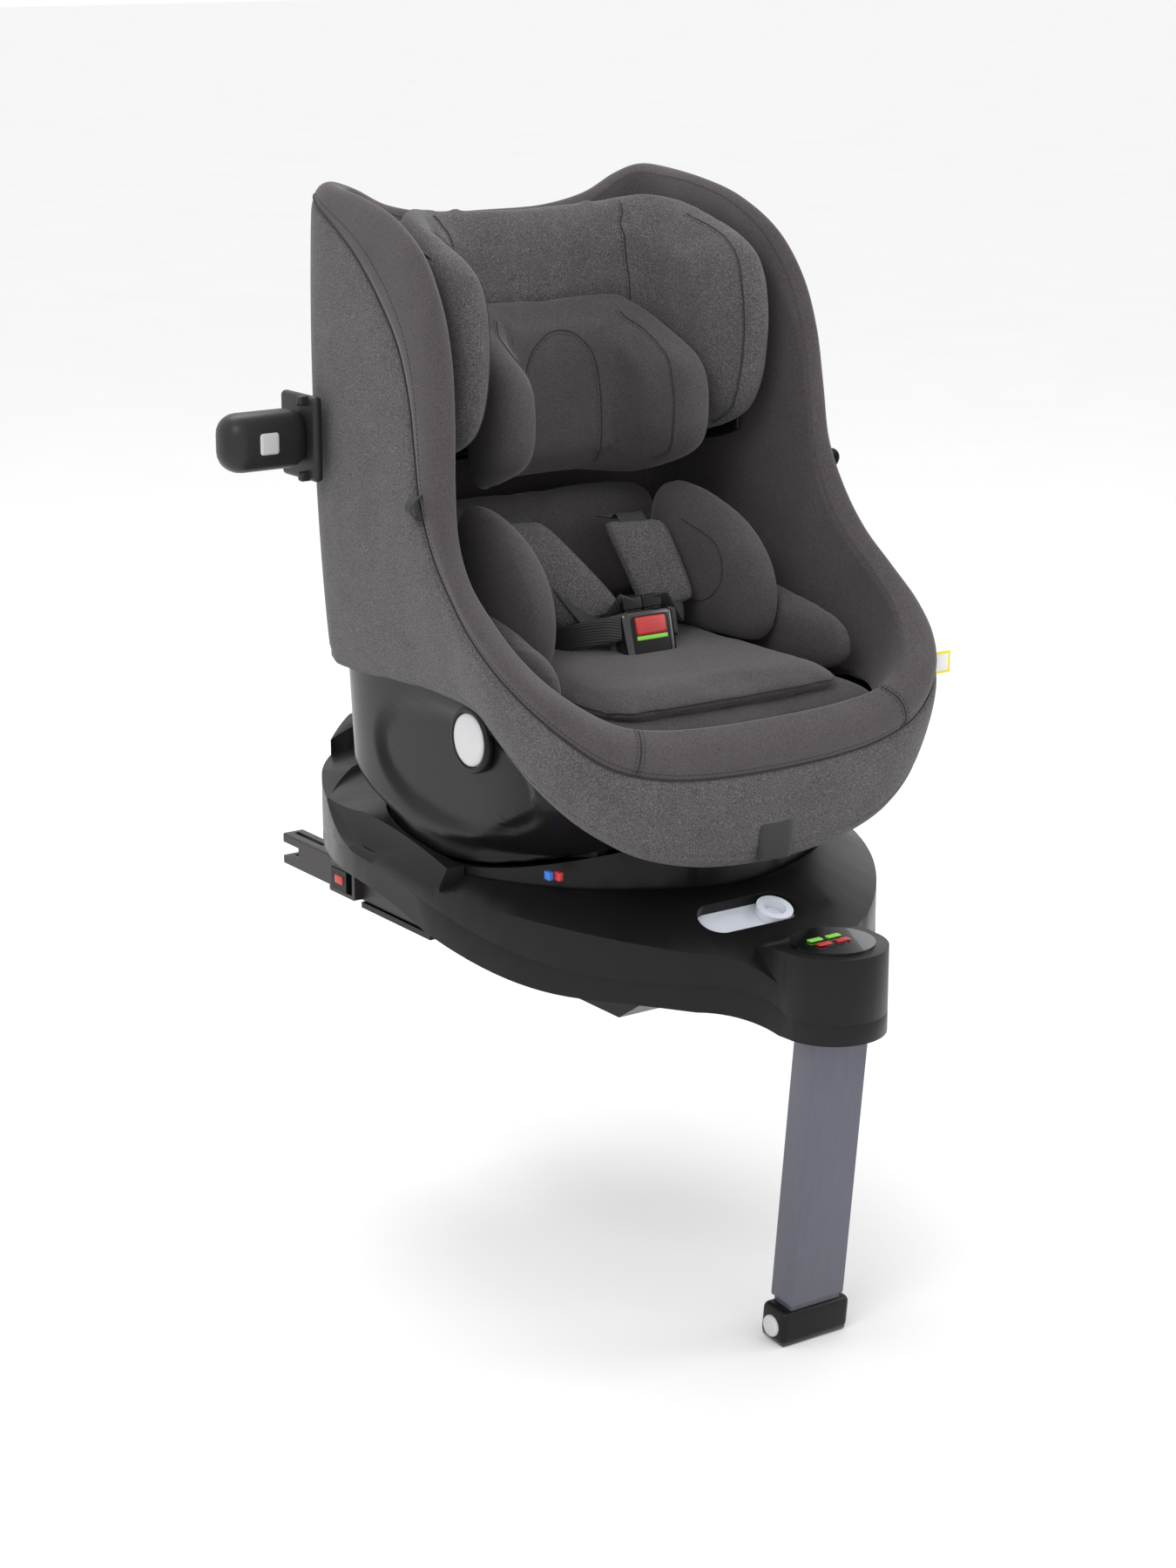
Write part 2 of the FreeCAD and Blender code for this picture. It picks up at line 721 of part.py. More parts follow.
def lower_shell():
    rear, wall, top = seat_rear - 23, val("lower_shell_wall"), val("lower_shell_top")
    knee = val("pan_low") - 3
    slope = side_slab([[(rear, top + 5), (rear - 2, knee)], [(rear - 2, knee), (rear - 70, 120)],
                       [(rear - 70, 120), (far, 120)], [(far, 120), (far, top + 5)]], -far / 2, far / 2)
    inner_slope = slope.copy()
    inner_slope.translate(Vector(0, -wall, 0))
    solid = lower_hull(0).cut([lower_hull(wall).cut(inner_slope), slope, past_seam_low])
    bosses = [Part.makeCylinder(10, 110, Vector(x, y, val("pan_low") - 110)) for x in (-150, 150) for y in (-120, 110)]
    inside = cradle_drum(val("seat_arc_radius") - 2)
    solid = solid.fuse([boss.common(inside) for boss in bosses])
    grooves = cradle_drum(val("seat_arc_radius") + 10).cut(cradle_drum(val("rail_radius") - val("rail_gap")))
    clear = val("rail_width") / 2 + val("rail_gap")
    lanes = [block(side * val("rail_offset") - clear, side * val("rail_offset") + clear, -300, 300, 100, 300)
             for side in (-1, 1)]
    solid = solid.cut([grooves.common(lane) for lane in lanes])
    button = Part.makeCylinder(val("spin_button_radius") + gap, 500, Vector(-250, val("spin_button_y"), val("spin_button_z")),
                               Vector(1, 0, 0))
    pan_half, pan_front, pan_rear = (val(a) + gap / 2 for a in ("pan_half_width", "pan_front", "pan_rear"))
    pan_space = block(-pan_half, pan_half, -pan_front, pan_rear, val("pan_low"), 400)
    return solid.cut([button, pan_space, block(-far, far, -far, far, val("flange_low"), 400)]).removeSplitter()


shaped("lower_shell", lower_shell())

for name, side in SIDES:
    start = "%d*(lower_shell_high_half-11)" % side
    button = disc_body("spin_button_" + name, ["spin_button_radius"], "14", x=start, y="spin_button_y", z="spin_button_z",
                       rotation=Rotation(Vector(0, 1, 0), 90 * side))
    keep(button, "spin_button_" + name)


def seat_shell():
    """The structural bucket: pan, flange and side walls."""
    thick = val("shell_thickness")
    outer_inset = val("cover_thickness") + 2 * gap
    walls = seat_ring(outer_inset, outer_inset + thick, val("flange_low"), rim_top - 32)
    pan_half, pan_front, pan_rear, pan_low = (val(a) for a in ("pan_half_width", "pan_front", "pan_rear", "pan_low"))
    flange = seat_prism(outer_inset + thick / 2, val("flange_low"), val("flange_low") + thick)
    pan = block(-pan_half, pan_half, -pan_front, pan_rear, pan_low, val("flange_low") + thick)
    pan = pan.common(seat_prism(outer_inset, pan_low - 1, 400))
    inside = block(thick - pan_half, pan_half - thick, thick - pan_front, pan_rear - thick, pan_low + thick, 400)
    solid = walls.fuse([flange, pan]).cut([inside, past_seam_low])
    return max(solid.cut(block(-far, far, -far, far, rim_top - 32, 900)).Solids, key=lambda s: s.Volume).removeSplitter()


shaped("seat_shell", seat_shell())

# ---------------------------------------------------------------- covers

hem_line = [(seat_front - 10, val("hem_front")), (seat_front + 4, val("hem_front")), (seat_front + 14, val("hem_front") + 20),
            (-205, 206), (-180, 229), (-128, 266), (-60, 272)]


def below_hem():
    """The space under the cover's lower edge."""
    return side_slab([hem_line, [(-60, 272), (seat_rear + 20, 270)], [(seat_rear + 20, 270), (seat_rear + 20, 50)],
                      [(seat_rear + 20, 50), (seat_front - 10, 50)]], -far / 2, far / 2)


tail_sweep = drum(far, 50, val("deck_rear_height") + 9).cut(drum(val("skirt_sweep_radius") - 1, 0, 300))
cover = seat_ring(0, val("cover_thickness")).cut([past_seam, below_hem(), dip, tail_sweep])
shaped("shell_cover", max(cover.Solids, key=lambda s: s.Volume))

trim = seat_ring(-2, val("rim_roll"), 200, 760).common(past_seam).cut([past_rim, dip])
shaped("rim_trim", max(trim.Solids, key=lambda s: s.Volume))

lining_out = val("cover_thickness") + val("shell_thickness") + 3 * gap
lining = seat_ring(lining_out, lining_out + val("lining_thickness"), val("flange_low") + val("shell_thickness") + gap, rim_top - 33)
lining = lining.cut([past_seam_low, block(-far, far, -far, -120, 0, 900)])
shaped("inner_lining", max(lining.Solids, key=lambda s: s.Volume))

pan_inner = val("pan_half_width") - val("shell_thickness") - gap
pan_floor = val("pan_low") + val("shell_thickness") + gap
cushion_top = val("cushion_top")


def seat_cushion():
    """The cushion in the pan, with a slightly raised front."""
    front = -val("pan_front") + val("shell_thickness") + gap
    rear = val("pan_rear") - val("shell_thickness") - gap
    return side_slab([[(front, pan_floor), (rear, pan_floor)], [(rear, pan_floor), (rear, cushion_top + 10)],
                      [(rear, cushion_top + 10), (60, cushion_top), (-120, cushion_top), (front, cushion_top - 2)]],
                     -pan_inner, pan_inner)


shaped("seat_cushion", seat_cushion())


def seat_insert():
    """The newborn insert's seat: a shallow cushion with a raised front roll."""
    front, half, top = -val("insert_front"), val("insert_half_width"), val("insert_top")
    low = cushion_top + 4
    body = side_slab([[(front, low), (60, low)], [(60, low), (60, top - 2)],
                      [(60, top - 2), (-60, top - 6), (-150, top - 2), (front + 14, top + 2), (front, low + 6)]], -half, half)
    return body


shaped("seat_insert", seat_insert())

bolster_in, bolster_out = val("bolster_inner"), val("bolster_outer")
for name, side in SIDES:
    profile = [[(70, 284), (-84, 284)], [(-84, 284), (-92, 320), (-84, 360), (-50, 393), (10, 410), (70, 414)]]
    low, high = sorted((side * bolster_in, side * bolster_out))
    shaped("bolster_" + name, side_slab(profile, low, high))

pad_half = val("back_pad_half_width")
back_face = seat_rear - lining_out - val("lining_thickness") - gap
pad_low = val("flange_low") + val("shell_thickness") + gap
shaped("back_pad", side_slab([[(72, pad_low), (back_face, pad_low)], [(back_face, pad_low), (back_face, 404)],
                              [(back_face, 404), (116, 404), (96, 360), (72, pad_low)]], -pad_half, pad_half))

# ---------------------------------------------------------------- harness

web, web_thick = val("webbing_width"), val("webbing_thickness")
strap_path = [(94, 398), (40, 404), (0, 386), (-36, 352), (-54, 336)]


def offset_path(path, distance):
    moved = []
    for i, (y, z) in enumerate(path):
        y0, z0 = path[max(i - 1, 0)]
        y1, z1 = path[min(i + 1, len(path) - 1)]
        length = math.hypot(y1 - y0, z1 - z0)
        moved.append((y + (z1 - z0) / length * distance, z - (y1 - y0) / length * distance))
    return moved


def ribbon(path, inner, outer, low, high):
    """The solid between two offsets of a side-view path."""
    near, away = offset_path(path, inner), offset_path(path, outer)
    return side_slab([near, [near[-1], away[-1]], list(reversed(away))], low, high)


pad_half_width = val("shoulder_pad_width") / 2
strap_x = 38
strap_half = web / 2 - 2
shaped("shoulder_straps", both_sides(ribbon(strap_path, 0, web_thick, strap_x - strap_half, strap_x + strap_half)))
for name, side in SIDES:
    middle = side * strap_x
    pad_path = strap_path[1:]
    shaped("shoulder_pad_" + name, ribbon(pad_path, web_thick + gap, web_thick + gap + val("pad_thickness"),
                                          middle - pad_half_width, middle + pad_half_width))

buckle_y = val("buckle_y")
buckle_low = 284
buckle_half = val("buckle_width") / 2
buckle_front = buckle_y - val("buckle_depth") / 2
buckle_back = buckle_y + val("buckle_depth") / 2
buckle_top = buckle_low + val("buckle_height")
buckle = rounded(block(-buckle_half, buckle_half, buckle_front, buckle_back, buckle_low, buckle_top), 6,
                 lies_along(Vector(0, 1, 0)))
button_pocket = block(-17, 17, buckle_front - 1, buckle_front + 9, buckle_top - 30, buckle_top - 8)
tongue_slot = block(-22, 22, buckle_y - 1.6, buckle_y + 1.6, buckle_top - 16, buckle_top + 1)
shaped("buckle_body", buckle.cut([button_pocket, tongue_slot]))
shaped("buckle_button", block(-16.7, 16.7, buckle_front - 1.5, buckle_front + 9 - val("buckle_button_travel") - 0.5,
                              buckle_top - 29.7, buckle_top - 8.3))
tongues = [block(x, x + 18, buckle_y - 1.3, buckle_y + 1.3, buckle_top - 15, buckle_top + 7) for x in (-20, 2)]
shaped("buckle_tongues", Part.makeCompound(tongues))
shaped("crotch_strap", block(-web / 2, web / 2, buckle_y - 1, buckle_y + 1, val("insert_top") - 2, buckle_low))
shaped("crotch_pad", block(-34, 34, buckle_back + gap, buckle_back + 10, 279, 326))
lap_low = buckle_low + 3
lap_line = [[(31, buckle_back + 12), (52, 20), (70, 68)], [(70, 68), (70 + web_thick, 68)],
            [(70 + web_thick, 68), (52 + web_thick, 18), (31 + web_thick, buckle_back + 10)]]
shaped("lap_straps", both_sides(plan_slab(lap_line, lap_low, lap_low + web)))

strap_face = seat_front - gap
shaped("front_strap", block(-web / 2, web / 2, strap_face - web_thick, strap_face, val("hem_front") + 2, 216))

# ---------------------------------------------------------------- headrest

rest_half, rest_back, rest_wall = val("headrest_half_width"), val("headrest_back"), val("headrest_wall")
rest_profile = [[(rest_back, 440), (60, 442)], [(60, 442), (20, 452), (-16, 488), (-36, 540), (-40, 600), (-30, 660), (-6, 690)],
                [(-6, 690), (60, 698)], [(60, 698), (rest_back, 698)]]
inner_x = rest_half - rest_wall


def headrest_shell():
    shell = side_slab(rest_profile, -rest_half, rest_half)
    room = block(-inner_x, inner_x, -100, rest_back - rest_wall, 400, 800)
    slim = side_slab([[(rest_back + 1, 400), (40, 400)], [(40, 400), (10, 480), (-12, 560), (-8, 640), (30, 800)],
                      [(30, 800), (rest_back + 1, 800)]], -rest_half, rest_half)
    return shell.cut(room).common(slim)


shaped("headrest_shell", headrest_shell())

opening = val("headrest_opening")
pad_outer = inner_x - gap
pad_back = rest_back - rest_wall - gap
pad = side_slab(rest_profile, -pad_outer, pad_outer).common(block(-pad_outer, pad_outer, -100, pad_back, 400, 800))
pad = pad.cut(block(-opening, opening, -100, pad_back - 34, 400, 800))
shaped("headrest_pad", pad)

insert_out = opening - gap
insert_back = pad_back - 34 - gap
insert_profile = [[(insert_back, 416), (30, 416)], [(30, 416), (0, 424), (-18, 470), (-26, 530), (-14, 580), (30, 606)],
                  [(30, 606), (insert_back, 612)]]
insert_pad = side_slab(insert_profile, -insert_out, insert_out)
insert_pad = insert_pad.cut(block(-val("head_insert_opening"), val("head_insert_opening"), -100, insert_back - 26, 400, 800))
shaped("head_insert", insert_pad)

bar_depth = back_face - rest_back
bars = [block(side * val("guide_bar_x") - 8, side * val("guide_bar_x") + 8, rest_back, rest_back + bar_depth, 452, 640)
        for side in (-1, 1)]
shaped("headrest_guides", Part.makeCompound(bars))
shaped("headrest_lever", rounded(block(-30, 30, rest_back + gap, back_face - 1, 640, 690), 3, lies_along(Vector(0, 1, 0))))

# ---------------------------------------------------------------- side details

loop_face = seat_half + 2
loops = [block(loop_face, loop_face + 7, -41, -29, 436, 458), block(-loop_face - 7, -loop_face, -41, -29, 436, 458)]
shaped("side_loops", Part.makeCompound(loops))
shaped("side_tag", block(seat_half - 2.4, seat_half + 38, -186, -184.6, 262, 284))

pod_x, pod_y = val("pod_pivot_x"), val("pod_pivot_y")
pod_low, pod_high = val("pod_low"), val("pod_low") + val("pod_height")
socket_x = seat_half + gap


def pod_body():
    """A round-ended wing, drawn deployed on the left side, with its button pocket and hinge bore."""
    inner = pod_x - val("pod_offset")
    outer = pod_x + val("pod_length")
    front = pod_y - val("pod_offset")
    rear = pod_y + val("pod_depth")
    body = block(inner, outer, front, rear, pod_low, pod_high)
    body = rounded(body, 18, lambda e: lies_along(Vector(0, 1, 0))(e) and e.BoundBox.XMin > pod_x + 40)
    half = val("pod_button_size") / 2 + gap
    middle = pod_x + 42
    height = (pod_low + pod_high) / 2
    pocket = block(middle - half, middle + half, front - 1, front + 12, height - half, height + half)
    bore = Part.makeCylinder(val("pod_pin_radius") + val("running_gap"), 200, Vector(pod_x, pod_y, pod_low - 50))
    return body.cut([pocket, bore])


def pod_button():
    half = val("pod_button_size") / 2
    middle = pod_x + 42
    height = (pod_low + pod_high) / 2
    front = pod_y - val("pod_offset")
    depth = 12 - val("pod_button_travel") - 0.5
    return block(middle - half, middle + half, front - 1.5, front + depth, height - half, height + half)


def pod_socket():
    """The bezel on the cover with two lugs and the hinge pin."""
    plate = block(socket_x, socket_x + val("socket_thickness"), pod_y - 14, pod_y + 52, pod_low - 14, pod_high + 14)
    lugs = [block(socket_x, pod_x + 8, pod_y - 8, pod_y + 10, low, low + 9)
            for low in (pod_low - 9 - gap, pod_high + gap)]
    hinge = Part.makeCylinder(val("pod_pin_radius"), pod_high - pod_low + 16, Vector(pod_x, pod_y, pod_low - 8))
    return plate.fuse(lugs + [hinge]).removeSplitter()


fold = Placement(Vector(), Rotation(Vector(0, 0, 1), -90), Vector(pod_x, pod_y, 0))
shaped("pod_sockets", both_sides(pod_socket()))
for name, side in SIDES:
    for piece, make in (("pod_", pod_body), ("pod_button_", pod_button)):
        solid = make()
        if name == "left":
            solid = solid.transformGeometry(fold.toMatrix())
        shaped(piece + name, mirrored(solid, side))

# ---------------------------------------------------------------- support leg

leg_turn = Rotation(Vector(1, 0, 0), 6)


def leg_local(obj):
    """Hang a piece modelled below the pivot on the leaning leg."""
    obj.Placement = Placement(Vector(), leg_turn)
    bind(obj, "Placement.Rotation.Angle", "leg_lean")
    bind(obj, "Placement.Base.y", "pivot_y")
    bind(obj, "Placement.Base.z", "pivot_z")
    return obj


def leg_tube(label, width, depth, wall, top, end):
    """A rectangular tube that hangs below the pivot."""
    body = new_body(label)
    sketch = new_sketch(body, label + "_section")
    centred_rectangle(sketch, width, depth)
    centred_rectangle(sketch, "%s-2*%s" % (width, wall), "%s-2*%s" % (depth, wall))
    bind(sketch, "AttachmentOffset.Base.z", "-(%s)" % top)
    pad_feature = padded(body, sketch, "(%s)-(%s)" % (end, top))
    pad_feature.Reversed = True
    return keep(leg_local(body), label)


leg_tube("leg_tube_upper", "leg_width", "leg_depth", "leg_wall", "leg_tube_top", "leg_tube_length")
leg_tube("leg_tube_lower", "(leg_width-2*leg_wall-2*telescope_gap)", "(leg_depth-2*leg_wall-2*telescope_gap)", "leg_wall",
         "inner_tube_top", "inner_tube_end")


def leg_shape(label, shape):
    """A free-form piece drawn about the pivot, turned and moved to the leg."""
    lean = Rotation(Vector(1, 0, 0), val("leg_lean"))
    feature = doc.addObject("Part::Feature", label)
    feature.Shape = shape
    feature.Placement = Placement(Vector(0, pivot_y, pivot_z), lean)
    return keep(feature, label)


leg_w, leg_d, leg_wall = val("leg_width"), val("leg_depth"), val("leg_wall")
hinge_w, hinge_d = leg_w / 2 - leg_wall, leg_d / 2 - leg_wall
hinge_block = block(-hinge_w, hinge_w, -hinge_d, hinge_d, -60, 0).fuse(cross_drum(hinge_d, hinge_w, 0, 0))
hinge_block = hinge_block.cut(cross_drum(val("pin_radius") + val("running_gap"), 60, 0, 0)).removeSplitter()
leg_shape("leg_hinge_block", hinge_block)

foot_w, foot_d = val("foot_width") / 2, val("foot_depth") / 2
foot_top, foot_end = -val("foot_top"), -val("foot_end")
tube_w = hinge_w - val("telescope_gap")
tube_d = hinge_d - val("telescope_gap")
foot = rounded(block(-foot_w, foot_w, -foot_d, foot_d, foot_end, foot_top), 9, lies_along(Vector(0, 0, 1)))
foot = foot.cut(block(-tube_w, tube_w, -tube_d, tube_d, -val("inner_tube_end"), foot_top + 1))
button_z = (foot_top + foot_end) / 2
travel = val("foot_button_travel")
button_floor = tube_w + 4
pocket = Part.makeCylinder(val("foot_button_radius") + gap, 60, Vector(button_floor, 0, button_z), Vector(1, 0, 0))
foot = foot.cut([pocket, mirrored(pocket, -1)])
leg_shape("leg_foot", foot)
for name, side in SIDES:
    length = foot_w - button_floor - travel - 0.3 + 1.5
    cap = Part.makeCylinder(val("foot_button_radius"), length, Vector(button_floor + travel + 0.3, 0, button_z), Vector(1, 0, 0))
    leg_shape("foot_button_" + name, mirrored(cap, side))

# ---------------------------------------------------------------- ISOFIX arms

arm_x, arm_w, arm_h, arm_low = (val(a) for a in ("arm_gauge", "arm_width", "arm_height", "arm_low"))
arm_in, arm_out = arm_x - arm_w / 2, arm_x + arm_w / 2
arm_high, arm_mid = arm_low + arm_h, arm_low + arm_h / 2
arm_tip, arm_root = val("arm_tip"), val("arm_root")
guide_gap = val("guide_gap")
hook_y, hook_z = arm_tip - 62, arm_high - 7
hook_half = val("hook_width") / 2


def isofix_guide():
    """An open C-shaped guide on the belly's side."""
    outer = block(belly_half, arm_out + 2, val("guide_front"), val("guide_rear"), arm_low - val("guide_lip") - guide_gap,
                  arm_high + val("guide_lip") + guide_gap)
    room = block(arm_in - guide_gap, arm_out + 5, val("guide_front") - 1, val("guide_rear") + 1, arm_low - guide_gap,
                 arm_high + guide_gap)
    return outer.cut(room)


def isofix_arm():
    """The sliding arm with its jaw, the hook's pocket and pin, and the release frame."""
    bar = block(arm_in, arm_out, arm_root, arm_tip, arm_low, arm_high)
    bar = rounded(bar, 2, lies_along(Vector(0, 1, 0)))
    jaw = block(arm_in - 1, arm_out + 1, arm_tip - val("jaw_depth"), arm_tip + 1, arm_mid - val("jaw_height") / 2,
                arm_mid + val("jaw_height") / 2)
    hook_room = block(arm_x - hook_half - gap, arm_x + hook_half + gap, hook_y - 14, arm_tip - 6, arm_low + 4, arm_high + 1)
    hinge = Part.makeCylinder(val("hook_pin_radius"), arm_w - 4, Vector(arm_in + 2, hook_y, hook_z), Vector(1, 0, 0))
    frame = block(arm_out - 1, arm_out + 9, arm_tip - 154, arm_tip - 106, arm_low + 1, arm_high - 1)
    frame = rounded(frame, 2, lies_along(Vector(1, 0, 0)))
    window = block(arm_out, arm_out + 12, arm_tip - 149, arm_tip - 111, arm_low + 5, arm_high - 5)
    return bar.cut([jaw, hook_room]).fuse([hinge, frame.cut(window)]).removeSplitter()


def isofix_hook():
    """The latch plate whose tip closes the jaw."""
    outline = [[(hook_y - 8, hook_z + 5), (hook_y - 8, hook_z - 6)], [(hook_y - 8, hook_z - 6), (hook_y + 34, hook_z - 17)],
               [(hook_y + 34, hook_z - 17), (hook_y + 46, hook_z - 17)], [(hook_y + 46, hook_z - 17), (hook_y + 46, hook_z - 8)],
               [(hook_y + 46, hook_z - 8), (hook_y + 6, hook_z + 5)]]
    plate = side_slab(outline, arm_x - hook_half, arm_x + hook_half)
    bore = Part.makeCylinder(val("hook_pin_radius") + val("running_gap"), arm_w, Vector(arm_in, hook_y, hook_z), Vector(1, 0, 0))
    return plate.cut(bore)


def isofix_release():
    return block(arm_out + gap, arm_out + 10, arm_tip - 149 + gap + 9, arm_tip - 111 - gap, arm_low + 5 + gap, arm_high - 5 - gap)


shaped("isofix_guides", both_sides(isofix_guide()))
for name, side in SIDES:
    for piece, make in (("arm", isofix_arm), ("hook", isofix_hook), ("release", isofix_release)):
        shaped("isofix_%s_%s" % (piece, name), mirrored(make(), side))

# ---------------------------------------------------------------- orientation ring

ring = disc_body("orientation_ring", ["ring_outer_radius", "ring_inner_radius"], "ring_height")
ring.Placement = Placement(Vector(), Rotation(Vector(1, 0, 0), val("recess_tilt")))
bind(ring, "Placement.Rotation.Angle", "recess_tilt")
lift_off = "(1.8-recess_depth)"
bind(ring, "Placement.Base.x", "recess_x+recess_length/2-ring_outer_radius-4")
bind(ring, "Placement.Base.y", "recess_y-%s*sin(recess_tilt)" % lift_off)
bind(ring, "Placement.Base.z", "recess_z+%s*cos(recess_tilt)" % lift_off)
keep(ring, "orientation_ring")

# ---------------------------------------------------------------- check and write

doc.recompute()
for item in doc.Objects:
    if "Invalid" in item.State or "Error" in item.State:
        raise RuntimeError("%s failed: %s" % (item.Name, item.State))
os.makedirs("parts", exist_ok=True)
for item in parts:
    if item.Shape.isNull() or not item.Shape.isValid() or not item.Shape.Solids:
        raise RuntimeError("%s has no valid solid" % item.Label)
    item.Shape.exportStep("parts/%s.step" % item.Label)
print(len(parts), "sub-parts written")
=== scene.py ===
import math

import bmesh
import bpy
import numpy as np
from mathutils import Matrix, Vector
from mathutils.bvhtree import BVHTree


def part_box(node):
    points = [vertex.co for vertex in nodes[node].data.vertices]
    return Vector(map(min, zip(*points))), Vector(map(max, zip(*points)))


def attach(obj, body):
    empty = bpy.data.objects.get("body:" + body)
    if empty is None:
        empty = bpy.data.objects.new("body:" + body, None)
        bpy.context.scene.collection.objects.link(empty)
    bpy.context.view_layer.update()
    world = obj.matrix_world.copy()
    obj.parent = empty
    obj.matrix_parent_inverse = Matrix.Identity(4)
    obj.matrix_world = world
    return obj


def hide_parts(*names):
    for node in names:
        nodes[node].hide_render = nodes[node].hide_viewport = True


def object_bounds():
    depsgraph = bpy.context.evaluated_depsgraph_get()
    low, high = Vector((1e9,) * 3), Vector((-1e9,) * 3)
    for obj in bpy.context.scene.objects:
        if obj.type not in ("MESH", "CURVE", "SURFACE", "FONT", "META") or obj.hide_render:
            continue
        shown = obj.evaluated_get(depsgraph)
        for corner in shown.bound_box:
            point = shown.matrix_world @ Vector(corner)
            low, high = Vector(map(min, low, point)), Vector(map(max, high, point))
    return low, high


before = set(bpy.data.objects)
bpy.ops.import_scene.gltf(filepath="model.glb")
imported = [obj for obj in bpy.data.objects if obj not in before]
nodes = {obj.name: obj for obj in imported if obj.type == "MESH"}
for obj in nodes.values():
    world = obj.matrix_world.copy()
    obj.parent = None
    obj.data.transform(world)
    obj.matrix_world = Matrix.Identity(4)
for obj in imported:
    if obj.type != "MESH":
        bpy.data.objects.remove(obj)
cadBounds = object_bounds()
mm = 0.001
print("frame loaded:", len(nodes), "nodes")

# ---- camera, floor and light

view = {"place": (-1.694, -2.390, 0.971), "pitch": 15.6, "turn": -35.0, "lens": 74.0}


def makeCamera():
    data = bpy.data.cameras.new("camera")
    data.lens = view["lens"]
    data.sensor_width = 36.0
    data.clip_end = 60
    camera = bpy.data.objects.new("camera", data)
    camera.location = view["place"]
    camera.rotation_euler = (math.radians(90 - view["pitch"]), 0, math.radians(view["turn"]))
    bpy.context.scene.collection.objects.link(camera)
    bpy.context.scene.camera = camera


def areaLight(name, place, target, size, watts, colour=(1, 1, 1)):
    data = bpy.data.lights.new(name, "AREA")
    data.shape = "RECTANGLE"
    data.size, data.size_y = size
    data.energy = watts
    data.color = colour
    lamp = bpy.data.objects.new(name, data)
    lamp.location = place
    lamp.rotation_euler = (Vector(target) - Vector(place)).to_track_quat("-Z", "Y").to_euler()
    bpy.context.scene.collection.objects.link(lamp)


def makeStudio():
    world = bpy.data.worlds.new("studio")
    world.use_nodes = True
    world.node_tree.nodes["Background"].inputs["Color"].default_value = (1, 1, 1, 1)
    world.node_tree.nodes["Background"].inputs["Strength"].default_value = 1.0
    bpy.context.scene.world = world
    bpy.context.scene.view_settings.view_transform = "Standard"
    areaLight("keyLight", (-2.2, -1.6, 2.6), (0, 0, 0.3), (1.6, 1.6), 36)
    areaLight("sideLight", (2.4, -1.4, 1.4), (0, 0, 0.3), (1.2, 1.8), 16)
    areaLight("topLight", (0.3, 1.6, 2.8), (0, 0, 0.4), (1.8, 1.2), 30)
    mesh = bpy.data.meshes.new("floor")
    low = cadBounds[0].z - 0.0005
    mesh.from_pydata([(-30, -30, low), (30, -30, low), (30, 30, low), (-30, 30, low)], [], [(0, 1, 2, 3)])
    floor = bpy.data.objects.new("floor", mesh)
    bpy.context.scene.collection.objects.link(floor)
    mesh.materials.append(paleFloor())


# ---- materials

def newMaterial(name, colour, roughness, metallic=0.0, sheen=0.0, coat=0.0, specular=0.5):
    mat = bpy.data.materials.new(name)
    mat.use_nodes = True
    shader = mat.node_tree.nodes["Principled BSDF"]
    shader.inputs["Base Color"].default_value = (*colour, 1)
    shader.inputs["Roughness"].default_value = roughness
    shader.inputs["Metallic"].default_value = metallic
    shader.inputs["Sheen Weight"].default_value = sheen
    shader.inputs["Sheen Roughness"].default_value = 0.5
    shader.inputs["Coat Weight"].default_value = coat
    shader.inputs["Specular IOR Level"].default_value = specular
    return mat


def node(mat, kind, **settings):
    made = mat.node_tree.nodes.new(kind)
    for key, value in settings.items():
        if key in made.inputs:
            made.inputs[key].default_value = value
        else:
            setattr(made, key, value)
    return made


def wire(mat, start, out, end, into):
    mat.node_tree.links.new(start.outputs[out], end.inputs[into])


def objectNoise(mat, scale, detail=2.0, stretch=(1, 1, 1), roughness=0.6):
    place = node(mat, "ShaderNodeTexCoord")
    mapping = node(mat, "ShaderNodeMapping")
    mapping.inputs["Scale"].default_value = stretch
    noise = node(mat, "ShaderNodeTexNoise")
    noise.inputs["Scale"].default_value = scale
    noise.inputs["Detail"].default_value = detail
    noise.inputs["Roughness"].default_value = roughness
    wire(mat, place, "Object", mapping, "Vector")
    wire(mat, mapping, "Vector", noise, "Vector")
    return noise


def ramp(mat, source, stops, out="Fac"):
    made = node(mat, "ShaderNodeValToRGB")
    while len(made.color_ramp.elements) < len(stops):
        made.color_ramp.elements.new(0.5)
    for element, (place, colour) in zip(made.color_ramp.elements, stops):
        element.position = place
        element.color = (*colour, 1) if len(colour) == 3 else (colour[0],) * 3 + (1,)
    wire(mat, source, out, made, "Fac")
    return made


def bumpFrom(mat, source, out, strength, distance):
    made = node(mat, "ShaderNodeBump")
    made.inputs["Strength"].default_value = strength
    made.inputs["Distance"].default_value = distance
    wire(mat, source, out, made, "Height")
    wire(mat, made, "Normal", mat.node_tree.nodes["Principled BSDF"], "Normal")
    return made


def tinted(mat, base, amount, scale):
    # slow colour variation over the piece
    slow = objectNoise(mat, scale, 2.0)
    shade = ramp(mat, slow, [(0.3, (1 - amount,)), (0.7, (1 + amount,))])
    mix = node(mat, "ShaderNodeMix", data_type="RGBA", blend_type="MULTIPLY")
    mix.inputs["Factor"].default_value = 1.0
    mat.node_tree.links.new(base.outputs["Color"], mix.inputs[6])
    mat.node_tree.links.new(shade.outputs["Color"], mix.inputs[7])
    mat.node_tree.links.new(mix.outputs[2], mat.node_tree.nodes["Principled BSDF"].inputs["Base Color"])
    return mix


